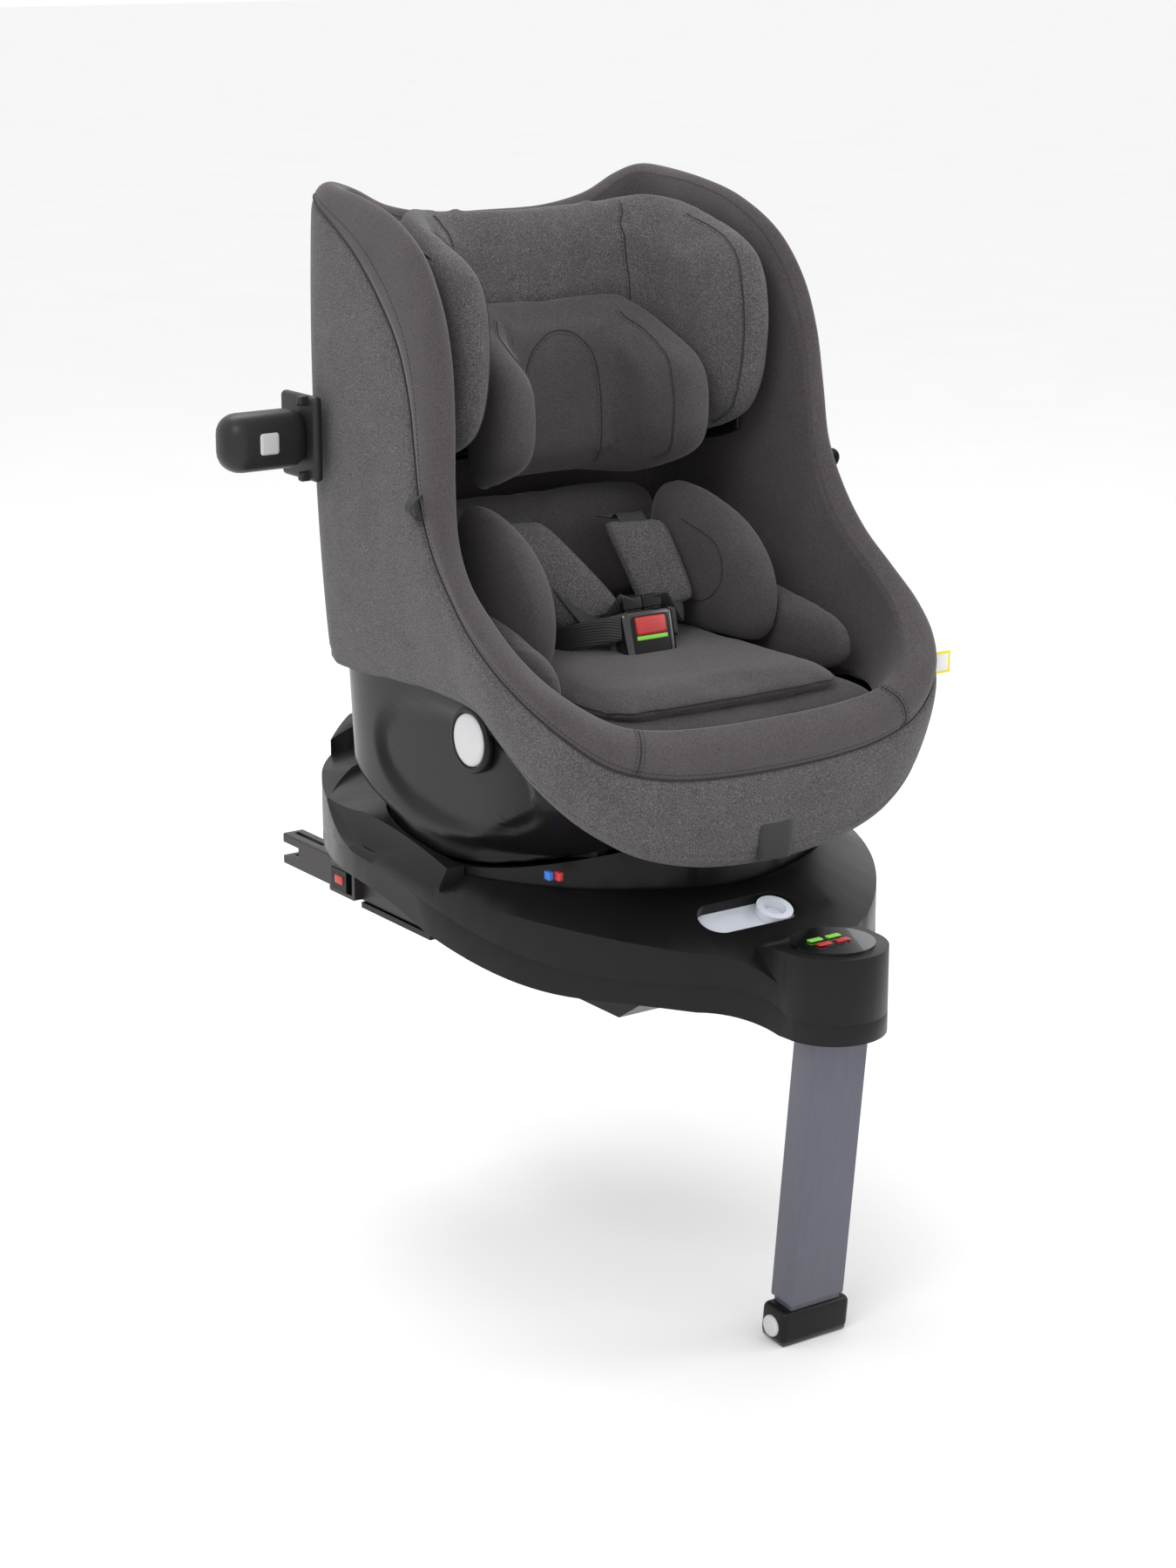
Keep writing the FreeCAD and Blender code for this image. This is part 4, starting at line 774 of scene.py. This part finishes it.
def wrap(name, size, finish, cols=120, rows=44):
    # a C-shaped stuffed form: its plan path runs from one wing's tip round the back to the other
    half = np.array(size["path"], float)
    tips = through(size["tip"], 80)
    grid = {1: [], -1: []}
    for i in range(cols):
        a = 2 * i / (cols - 1) - 1
        s = abs(a)
        side = 1 if a >= 0 else -1
        for k in range(rows):
            b = k / (rows - 1)
            low = between(s, (0, 1), size["low"])
            high = between(s, (0, 0.5, 1), size["high"])
            begin, share = size["round"]
            squeeze = 1 - share * (1 - (1 - max(0, (s - begin) / (1 - begin)) ** 2) ** 0.5)
            z = low + (high - low) * (0.5 + (b - 0.5) * squeeze)
            points = []
            for q in (s - 0.01, s, s + 0.01):
                q = min(max(q, 0), 1)
                x, y = pathAt(half, q)
                tip = between(z, tips[:, 0], tips[:, 1])
                wing = max(0, (y - half[-1][1]) / (half[0][1] - half[-1][1]))
                y = tip + (half[0][1] - tip) * wing
                points.append((side * x, y))
            x, y = points[1]
            dx, dy = points[2][0] - points[0][0], points[2][1] - points[0][1]
            length = math.hypot(dx, dy) + 1e-9
            nx, ny = dy / length * -side, -dx / length * -side
            thick = between(s, (0, 0.45, 0.75, 1), size["thick"]) / 2
            thick *= (1 - abs(2 * b - 1) ** 5) ** 0.5
            if s > 0.9:
                thick *= max(0, 1 - ((s - 0.9) / 0.1) ** 2) ** 0.5
            grid[1].append((x + nx * thick, y + ny * thick, z))
            grid[-1].append((x - nx * thick, y - ny * thick, z))
    faces = gridFaces(cols, rows) + [f[::-1] for f in gridFaces(cols, rows, start=cols * rows)]
    return weld(newPiece(name, grid[1] + grid[-1], faces, finish), 0.4)


def pathAt(rows, q):
    position = q * (len(rows) - 1)
    i = min(int(position), len(rows) - 2)
    f = position - i
    first = rows[i - 1] if i > 0 else 2 * rows[0] - rows[1]
    if i == 0:
        first = np.array([-rows[1][0], rows[1][1]])
    last = rows[i + 2] if i + 2 < len(rows) else 2 * rows[-1] - rows[-2]
    b, c = rows[i], rows[i + 1]
    return 0.5 * (2 * b + (c - first) * f + (2 * first - 5 * b + 4 * c - last) * f ** 2
                  + (3 * b - first - 3 * c + last) * f ** 3)


headrestSize = {
    "path": [(0, 139), (55, 138), (100, 132), (128, 112), (142, 78), (148, 30), (150, -40)],
    "low": (452, 448), "high": (688, 693, 690), "thick": (38, 42, 46, 42), "round": (0.60, 0.52),
    "tip": [(440, 26), (465, 0), (500, -20), (545, -33), (590, -36), (635, -27), (670, -4), (700, 40)],
}
headInsertSize = {
    "path": [(0, 98), (38, 97), (68, 88), (84, 66), (90, 34), (93, -10)],
    "low": (428, 424), "high": (606, 604, 584), "thick": (32, 38, 42, 38), "round": (0.40, 0.70),
    "tip": [(415, 22), (435, 2), (465, -12), (500, -18), (535, -14), (565, 0), (590, 24), (606, 48)],
}


def makeHeadrest():
    pad = puffed(wrap("headrestPad", headrestSize, "melange"), 6.0, 4.0, 7.0)
    finished(pad, "headrest", ["headrest_pad"])
    insert = puffed(wrap("headInsert", headInsertSize, "pad"), 5.0, 4.0, 7.0)
    finished(insert, "headrest", ["head_insert"])
    lines = []
    for side, label in ((1, "Left"), (-1, "Right")):
        wing = [(side * 128, 60, 694), (side * 130, 18, 686), (side * 131, -12, 650), (side * 131, -26, 600),
                (side * 131, -26, 545), (side * 131, -10, 490), (side * 131, 20, 452)]
        lines.append(seamLine("headrestWingSeam" + label, pad, wing, "headrest"))
        corner = [(side * 96, 105, 705), (side * 92, 100, 660), (side * 96, 98, 600), (side * 96, 96, 540)]
        lines.append(seamLine("headrestCornerSeam" + label, pad, corner, "headrest"))
        lobe_ = [(side * 62, 60, 600), (side * 66, 30, 585), (side * 68, 5, 550), (side * 68, -5, 500),
                 (side * 66, 5, 450), (side * 62, 25, 424)]
        lines.append(seamLine("insertLobeSeam" + label, insert, lobe_, "headrest"))
    arch = [(-44, 70, 430), (-45, 74, 500), (-38, 76, 545), (-20, 78, 566), (0, 78, 572), (20, 78, 566),
            (38, 76, 545), (45, 74, 500), (44, 70, 430)]
    lines.append(seamLine("insertArchSeam", insert, arch, "headrest"))
    beside = []
    for line in lines:
        along = np.gradient(line, axis=0)
        along /= np.linalg.norm(along, axis=1)[:, None] + 1e-9
        piece = insert if line is lines[-1] or np.abs(line[:, 0]).max() < 90 else pad
        across = np.cross(along, np.array([0, -1, 0.3]))
        across /= np.linalg.norm(across, axis=1)[:, None] + 1e-9
        beside.append(laidOn(piece, line + across * 3.2, 0.1))
    stitches("headrestStitches", beside, "headrest", pitch=4.2, length=2.6, thickness=0.3)


makeHeadrest()
print("headrest made")

cushions = {
    "bolster": {"outline": [(66, 296), (40, 288), (-40, 286), (-78, 292), (-90, 325), (-82, 362), (-52, 396),
                            (-6, 418),
                            (40, 426), (68, 412), (76, 350)], "middle": 114, "half": 30},
    "insert": {"outline": [(0, -209), (90, -207), (124, -198), (134, -165), (134, -60), (130, 40), (110, 60),
                           (0, 62),
                           (-110, 60), (-130, 40), (-134, -60), (-134, -165), (-124, -198), (-90, -207)],
               "middle": 274, "up": 17, "down": 13},
    "cushion": {"outline": [(0, -219), (100, -217), (154, -209), (176, -178), (184, -60), (182, 120), (150, 160),
                            (0, 168),
                            (-150, 160), (-182, 120), (-184, -60), (-176, -178), (-154, -209), (-100, -217)],
                "middle": 250, "up": 16, "down": 16},
    "hip": {"outline": [(36, 282), (-40, 268), (-120, 266), (-158, 282), (-150, 312), (-100, 330), (-30, 342),
                        (36, 336)],
            "middle": 164, "half": 19},
}


def makeCushions():
    size = cushions["bolster"]
    for side, label in ((1, "left"), (-1, "right")):
        piece = lobe("bolster" + label.title(), size["outline"],
                     lambda u, v, h: (side * (size["middle"] + 14 - 0.10 * (u + 90)) - h * side, u, v),
                     size["half"], size["half"] - 8, "pad")
        piece = puffed(piece, 5.0, 4.0, 6.0)
        hip = cushions["hip"]
        roll = lobe("hipRoll" + label.title(), hip["outline"],
                    lambda u, v, h: (side * (hip["middle"] - 0.08 * (u + 158)) - h * side, u, v),
                    hip["half"], hip["half"] - 6, "pad")
        roll = puffed(roll, 5.0, 4.0, 5.0)
        finished(roll, "seat")
        finished(piece, "seat", ["bolster_" + label])
        ring = [(side * 92, 40, 330), (side * 92, -20, 322), (side * 92, -50, 345), (side * 92, -40, 380),
                (side * 94, 10, 396)]
        seamLine("bolsterSeam" + label.title(), piece, ring, "seat")
    size = cushions["cushion"]
    base = lobe("seatCushion", size["outline"],
                lambda u, v, h: (u, v, size["middle"] + h + 5 * max(0, (-v - 120) / 100)),
                size["up"], size["down"], "pad", fullness=6)
    finished(puffed(base, 6.0, 3.0, 4.0), "seat", ["seat_cushion"])
    size = cushions["insert"]
    top = lobe("seatInsert", size["outline"],
               lambda u, v, h: (u, v, size["middle"] + h + 4 * max(0, (-v - 150) / 60)),
               size["up"], size["down"], "pad", fullness=3.4)
    top = puffed(top, 5.0, 4.0, 5.0)
    finished(top, "seat", ["seat_insert"])
    edge = through([(x * 0.985, y * 0.99, 280) for x, y in size["outline"]], 200, loop=True)
    line = laidOn(top, edge, 0.1)
    finished(tube("insertPiping", line, 0.9, "seam", loop=True), "seat")
    back = lobe("backPad", [(0, 302), (110, 302), (138, 312), (142, 360), (130, 408), (0, 414), (-130, 408),
                            (-142, 360),
                            (-138, 312), (-110, 302)],
                lambda u, v, h: (u, 120 - h + 0.10 * (v - 300), v), 36, 30, "pad", fullness=5)
    finished(puffed(back, 6.0, 4.0, 5.0), "seat", ["back_pad"])


makeCushions()
print("cushions made")

# ---- harness

harness = {
    "padLeft": [(22, 36, 398), (78, 14, 398), (80, -34, 330), (36, -12, 316)],
    "padRight": [(-88, 58, 406), (-38, 46, 404), (-10, -50, 334), (-62, -10, 312)],
    "thick": 13, "web": 26, "webThick": 1.6,
    "buckle": {"half": 29, "low": 284, "high": 338, "y": -70, "lean": 16},
}


strapSection = ((-1, 0), (-0.96, 0.8), (-0.7, 1), (0.7, 1), (0.96, 0.8), (1, 0), (0.96, -0.8), (0.7, -1),
                (-0.7, -1), (-0.96, -0.8))


def ribbonAlong(name, points, wide, thick, across, finish="webbing", count=60):
    # a flat strap: each station is a narrow rounded section
    line = through(points, count)
    sides = through(across, count) if len(across) > 1 else np.repeat(np.array(across, float), count, 0)
    along = np.gradient(line, axis=0)
    vertices = []
    for point, run, side in zip(line, along, sides):
        run = run / np.linalg.norm(run)
        side = side - run * np.dot(side, run)
        side /= np.linalg.norm(side)
        out = np.cross(run, side)
        for u, v in strapSection:
            vertices.append(point + side * wide / 2 * u + out * thick / 2 * v)
    faces = []
    for i in range(count - 1):
        for k in range(10):
            j = (k + 1) % 10
            faces.append((i * 10 + k, (i + 1) * 10 + k, (i + 1) * 10 + j, i * 10 + j))
    faces += [tuple(range(10)), tuple(range((count - 1) * 10, count * 10))]
    return weld(newPiece(name, vertices, faces, finish), 0.001)


def padOnPatch(name, corners, thick, finish):
    # a padded sleeve whose face is the patch between four corners
    topLeft, topRight, lowRight, lowLeft = (np.array(c, float) for c in corners)
    normal = np.cross(lowLeft - topLeft, topRight - topLeft)
    normal /= np.linalg.norm(normal)
    if normal[1] > 0:
        normal = -normal
    rows, cols = 40, 26
    front, back = [], []
    for i in range(rows):
        b = i / (rows - 1)
        for k in range(cols):
            a = k / (cols - 1)
            u = 0.5 + (a - 0.5) * (1 - 0.10 * abs(2 * b - 1) ** 8)
            v = 0.5 + (b - 0.5) * (1 - 0.06 * abs(2 * a - 1) ** 6)
            left = topLeft * (1 - v) + lowLeft * v
            right = topRight * (1 - v) + lowRight * v
            place = left * (1 - u) + right * u
            swell = thick / 2 * ((1 - abs(2 * a - 1) ** 4) * (1 - abs(2 * b - 1) ** 8)) ** 0.5
            bow = normal * 3 * (1 - (2 * b - 1) ** 2)
            front.append(place + bow + normal * (swell - thick / 2))
            back.append(place + bow - normal * (swell + thick / 2))
    faces = gridFaces(rows, cols) + [f[::-1] for f in gridFaces(rows, cols, start=rows * cols)]
    return weld(newPiece(name, front + back, faces, finish), 0.3)


def makeHarness():
    tags = {"padLeft": "left", "padRight": "right"}
    for key, label in tags.items():
        corners = harness[key]
        pad = padOnPatch("shoulderPad" + label.title(), corners, harness["thick"], "melange")
        finished(pad, "seat", ["shoulder_pad_" + label])
        edge = [np.array(c, float) for c in corners]
        middle = sum(edge) / 4
        hem = [middle + (c - middle) * 0.9 for c in edge]
        rows = laidOn(pad, through([hem[0], (hem[0] + hem[3]) / 2, hem[3]], 40), 0.1)
        other = laidOn(pad, through([hem[1], (hem[1] + hem[2]) / 2, hem[2]], 40), 0.1)
        stitches("shoulderStitches" + label.title(), [rows, other], "seat",
                 pitch=3.6, length=2.4, thickness=0.3)
    left, right = harness["padLeft"], harness["padRight"]
    pieces = []
    for corners, side in ((left, 1), (right, -1)):
        c = [np.array(p, float) for p in corners]
        top, low = (c[0] + c[1]) / 2, (c[2] + c[3]) / 2
        across = c[1] - c[0]
        inner = np.array([0, 5, 0])
        run = [top + (0, 46, -4), top + (0, 20, -2), top + inner, (top + low) / 2 + (0, 4, -3),
               low + inner * 0.6,
               low + (-side * 10, -8, -10), (side * 13, -57, 344)]
        pieces.append(ribbonAlong("strap", run, harness["web"], harness["webThick"], [across]))
    finished(joined("shoulderStraps", pieces), "seat", ["shoulder_straps"])
    laps = []
    for side in (1, -1):
        run = [(side * 22, -68, 322), (side * 40, -54, 316), (side * 62, -22, 306), (side * 70, 20, 300),
               (side * 71, 62, 296)]
        laps.append(ribbonAlong("lap", run, 24, harness["webThick"], [(0, 0.2, 1)]))
    finished(joined("lapStraps", laps), "seat", ["lap_straps"])
    crotch = ribbonAlong("crotchStrap", [(0, -64, 290), (0, -66, 283), (0, -64, 277)], 34, 2.0, [(1, 0, 0)])
    finished(crotch, "seat", ["crotch_strap"])
    size = harness["buckle"]
    lean = Matrix.Translation(Vector((0, size["y"], size["low"])) * mm)
    lean = lean @ Matrix.Rotation(math.radians(-size["lean"]), 4, "X")
    body = roundedBlock("buckleBody", (-29, -9, 0), (29, 12, 50), 6, "gloss", 5)
    shoulder = roundedBlock("buckleShoulder", (-23, -10.2, 3), (23, 8, 46), 5, "black", 4)
    body = placed(joined("buckleBody", [body, shoulder]), lean)
    finished(body, "seat", ["buckle_body"])
    button = placed(roundedBlock("buckleButton", (-17, -12.6, 26), (17, -7, 43), 2.4, "red", 4), lean)
    finished(button, "buckle_button", ["buckle_button"])
    stripe = placed(roundedBlock("buckleStripe", (-17, -11.4, 21.5), (17, -8, 25.6), 0.8, "green", 3), lean)
    finished(stripe, "seat")
    tongues = [placed(roundedBlock("tongue", (x, -2, 38), (x + 18, 1.0, 58), 0.8, "steel", 3), lean)
               for x in (-20, 2)]
    covers = [placed(roundedBlock("tongueCover", (x - 2, -4, 50), (x + 20, 3.4, 63), 2.4, "black", 4), lean)
              for x in (-20, 2)]
    finished(joined("buckleTongues", tongues), "seat", ["buckle_tongues"])
    finished(joined("tongueCovers", covers), "seat")
    pad = lobe("crotchPad", [(-30, 0), (-32, 20), (-26, 44), (0, 47), (26, 44), (32, 20), (30, 0), (0, -2)],
               lambda u, v, h: (u, -52 + h, 280 + v), 5, 5, "pad", count=64, rings=12, fullness=6)
    finished(pad, "seat", ["crotch_pad"])


makeHarness()
print("harness made")

# ---- pods, spin buttons, tags and loops


def capsule(name, low, high, bevel, finish):
    return roundedBlock(name, low, high, bevel, finish, 6)


def makeSideParts():
    for side, label in ((-1, "right"), (1, "left")):
        low, high = (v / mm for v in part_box("pod_" + label))
        bevel = min(high.x - low.x, high.y - low.y, high.z - low.z) / 2 - 0.6
        pod = capsule("pod" + label.title(), low, high, min(bevel, 19), "pod")
        finished(pod, "pod_" + label, ["pod_" + label])
        low, high = (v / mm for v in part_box("pod_button_" + label))
        edge = Vector((0.2, 0.2, 0.2))
        button = capsule("podButton" + label.title(), low - edge, high + edge, 3.4, "light")
        finished(button, "pod_button_" + label, ["pod_button_" + label])
    for side, label in ((1, "left"), (-1, "right")):
        low, high = (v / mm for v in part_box("spin_button_" + label))
        middle = (low + high) / 2
        face = side * (max(abs(low.x), abs(high.x)))
        profile = [(0, 0.4), (14, 0), (20, -0.8), (23.2, -2.4), (24, -5), (24, -12), (0, -12)]
        turn = Matrix.Rotation(math.radians(90 * side), 4, "Y")
        lens = lathed("spinButton" + label.title(), profile, Matrix.Identity(4), "light", 64)
        lens.data.transform(Matrix.Translation(Vector((face - side * 0.4, middle.y, middle.z)) * mm) @ turn)
        finished(weld(lens, 0.01), "spin_button_" + label, ["spin_button_" + label])
        bezelProfile = [(24.6, -8), (24.6, 0.2), (26.4, 1.0), (29, 0.2), (30.2, -2), (30.2, -8)]
        bezelProfile = bezelProfile + bezelProfile[:1]
        bezel = lathed("spinBezel" + label.title(), bezelProfile, Matrix.Identity(4), "black", 64)
        bezel.data.transform(Matrix.Translation(Vector((face - side * 3.4, middle.y, middle.z)) * mm) @ turn)
        finished(weld(bezel, 0.01), "seat")
        path = [(side * 226, -38, 437), (side * 235, -39, 440), (side * 239, -39, 447), (side * 235, -39, 454),
                (side * 226, -34, 457)]
        loop = ribbonAlong("sideLoop" + label.title(), path, 12, 1.6, [(0, 1, 0)])
        finished(loop, "seat", ["side_loops"] if side > 0 else [])
    tag = roundedBlock("sideTag", (224, -185.9, 262.5), (262, -185.1, 283.5), 0.3, "tag", 2)
    finished(tag, "seat", ["side_tag"])
    patch = roundedBlock("tagPatch", (244, -186.3, 265), (259, -184.7, 281), 0.3, "white", 2)
    finished(patch, "seat")
    path = [(0, -256, 214), (0, -258.6, 196), (0, -259, 176), (0, -258.4, 158), (0, -256.5, 143)]
    strap = ribbonAlong("frontStrap", path, 37, 1.6, [(1, 0, 0)])
    finished(strap, "seat", ["front_strap"])


makeSideParts()
print("side parts made")

# ---- base: smooth copies of the designed parts


def softened(part, name, finish, body, width=1.2, angle=30, segments=3):
    # the designed part with its hard edges rolled over
    source = nodes[part]
    mesh = bmesh.new()
    mesh.from_mesh(source.data)
    bmesh.ops.remove_doubles(mesh, verts=mesh.verts, dist=0.00002)
    bmesh.ops.dissolve_limit(mesh, angle_limit=math.radians(1.0), verts=mesh.verts, edges=mesh.edges)
    made = bpy.data.meshes.new(name)
    mesh.to_mesh(made)
    mesh.free()
    made.materials.clear()
    made.materials.append(finishes[finish])
    piece = bpy.data.objects.new(name, made)
    bpy.context.scene.collection.objects.link(piece)
    made.polygons.foreach_set("use_smooth", [True] * len(made.polygons))
    bevel = piece.modifiers.new("roll", "BEVEL")
    bevel.width = width * mm
    bevel.segments = segments
    bevel.limit_method = "ANGLE"
    bevel.angle_limit = math.radians(angle)
    bevel.harden_normals = True
    bevel.use_clamp_overlap = True
    piece = applied(piece)
    piece.data.polygons.foreach_set("use_smooth", [True] * len(piece.data.polygons))
    piece.data.set_sharp_from_angle(angle=math.radians(38))
    return finished(piece, body, [part])


plainParts = {
    "black": ["base_tray", "base_deck", "turntable_carriage", "recline_lever", "isofix_guides",
              "leg_hinge_block", "isofix_release_left", "isofix_release_right"],
    "gloss": ["indicator_panel"],
    "ring": ["orientation_ring", "slot_plate"],
    "steel": ["recline_rails", "headrest_guides", "leg_pivot_pin", "isofix_hook_left", "isofix_hook_right"],
    "armSteel": ["isofix_arm_left", "isofix_arm_right"],
    "leg": ["leg_tube_upper", "leg_tube_lower"],
}


def dressPlainParts():
    for finish, names in plainParts.items():
        for name in names:
            data = nodes[name].data
            data.materials.clear()
            data.materials.append(finishes[finish])
    for name in ("base_screws", "indicator_windows", "leg_foot", "foot_button_left", "foot_button_right"):
        data = nodes[name].data
        data.materials.clear()
        data.materials.append(finishes["steel" if name == "base_screws" else "light" if "button" in name else
                                       "green" if "windows" in name else "black"])


def makeHeadrestShell():
    # the carrier behind the head pad: a thin bent panel just inside the pad's outline
    rows, cols = 40, 60
    plan = np.array([(0, 156), (60, 155), (112, 150), (146, 128), (160, 90), (166, 50), (167, 20)], float)
    grid = []
    for i in range(cols):
        a = 2 * i / (cols - 1) - 1
        s, side = abs(a), 1 if a >= 0 else -1
        x, y = pathAt(plan, s)
        for k in range(rows):
            b = k / (rows - 1)
            z = 446 + (676 - 446) * b - 26 * s ** 3 * (1 if b > 0.5 else -1) * abs(2 * b - 1) ** 2
            grid.append((side * x, y, z))
    panel = thickened(newPiece("headrestShell", grid, gridFaces(cols, rows), "black"), 3.0)
    finished(weld(panel, 0.01), "headrest", ["headrest_shell"])


def makeRaces():
    # the two bearing rings, turned on one centre
    low, high = (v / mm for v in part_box("turning_race"))
    fixedLow, fixedHigh = (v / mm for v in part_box("fixed_race"))
    rim, bore, lip = high.x, 148.0, 156.0
    step = low.z
    ring = [(lip + 1.5, step + 0.4), (rim - 0.5, step + 0.4), (rim - 0.5, high.z), (lip + 1.5, high.z),
            (lip + 1.5, step + 0.4)]
    turning = lathed("turningRace", ring, Matrix.Identity(4), "steel", 96)
    finished(turning, "turntable", ["turning_race"])
    ring = [(bore, fixedLow.z), (rim - 0.5, fixedLow.z), (rim - 0.5, step), (lip, step), (lip, fixedHigh.z),
            (bore, fixedHigh.z), (bore, fixedLow.z)]
    fixed = lathed("fixedRace", ring, Matrix.Identity(4), "black", 96)
    finished(fixed, "base", ["fixed_race"])


def makeFoot():
    # a rounded shoe at the leg's end, in the leg's own slope
    slope = Matrix.Translation(Vector((0, -0.345, 0.040))) @ Matrix.Rotation(math.radians(6), 4, "X")
    shoe = placed(roundedBlock("legFoot", (-38, -17, -329.6), (38, 17, -297), 6, "black", 5), slope)
    finished(shoe, "leg_lower", ["leg_foot"])
    sole = placed(roundedBlock("legSole", (-36, -15.5, -331), (36, 15.5, -325), 2, "gloss", 3), slope)
    finished(sole, "leg_lower")
    for side, label in ((1, "left"), (-1, "right")):
        part = "foot_button_" + label
        low, high = (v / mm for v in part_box(part))
        middle = (low + high) / 2
        turn = Matrix.Rotation(math.radians(90 * side), 4, "Y")
        radius = (high.z - low.z) / 2
        profile = [(0, 0), (radius - 2, -0.2), (radius - 0.6, -1.0), (radius, -2.4), (radius, -5.5),
                   (0, -5.5)]
        lens = lathed("footButton" + label.title(), profile, Matrix.Identity(4), "light", 40)
        face = side * max(abs(low.x), abs(high.x))
        lens.data.transform(Matrix.Translation(Vector((face, middle.y, middle.z)) * mm) @ turn)
        finished(weld(lens, 0.01), part, [part])


def makeMarks():
    # pills of colour on the indicator and the ISOFIX releases, generic marks on the ring plate
    low, high = (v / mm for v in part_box("indicator_panel"))
    top = high.z
    for x, y, finish in ((-14, -333, "green"), (6, -333, "green"), (-14, -346, "red"), (6, -346, "red")):
        start, end = (x - 7, y - 3.2, top + 0.4), (x + 7, y + 3.2, top + 1.9)
        pill = roundedBlock("indicatorPill", start, end, 0.7, finish, 3)
        finished(pill, "base")
    for side, label in ((1, "left"), (-1, "right")):
        low, high = (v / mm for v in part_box("isofix_release_" + label))
        face = high.x if side > 0 else low.x
        start, end = (face - 1.2, low.y + 6, low.z + 7), (face + 1.2, high.y - 8, high.z - 6)
        pill = roundedBlock("releasePill", start, end, 1.0, "red", 3)
        finished(pill, "isofix_release_" + label)
    for x, finish in ((-170, "blue"), (-164, "red")):
        y = -math.sqrt(229 ** 2 - x * x)
        pill = roundedBlock("deckPill", (x - 2.6, y - 4, 128), (x + 2.6, y + 4, 136), 1.0, finish, 3)
        finished(pill, "base")
    data = nodes["indicator_windows"].data
    data.materials.clear()
    data.materials.append(finishes["gloss"])


dressPlainParts()
makeHeadrestShell()
makeRaces()
makeFoot()
makeMarks()
def makeSockets():
    # a rounded escutcheon round each pod's root
    plates = []
    for side in (1, -1):
        inner, outer = sorted((side * 228.5, side * 238.5))
        plates.append(roundedBlock("socketPlate", (inner, 120, 447), (outer, 182, 525), 4.6, "pod", 5))
        inner, outer = sorted((side * 234, side * 246))
        plates.append(roundedBlock("socketEar", (inner, 132, 447), (outer, 140, 456), 2.5, "pod", 4))
        plates.append(roundedBlock("socketEar", (inner, 132, 516), (outer, 140, 525), 2.5, "pod", 4))
    finished(joined("podSockets", plates), "seat", ["pod_sockets"])


makeSockets()
rolledParts = (("base_tray", "base", "black_plastic"), ("base_deck", "base", "black_plastic"),
               ("turntable_carriage", "turntable", "black_plastic"), ("leg_tube_upper", "leg_upper", "leg_paint"),
               ("leg_tube_lower", "leg_lower", "leg_paint"))
for part, body, slot in rolledParts:
    rolledName = part.title().replace("_", "") + "Rolled"
    softened(part, rolledName, "leg" if slot == "leg_paint" else "black", body)
print("base dressed")

lever = roundedBlock("headrestLever", (-28, 165, 640), (28, 174, 668), 3.4, "black", 4)
finished(lever, "headrest_lever", ["headrest_lever"])
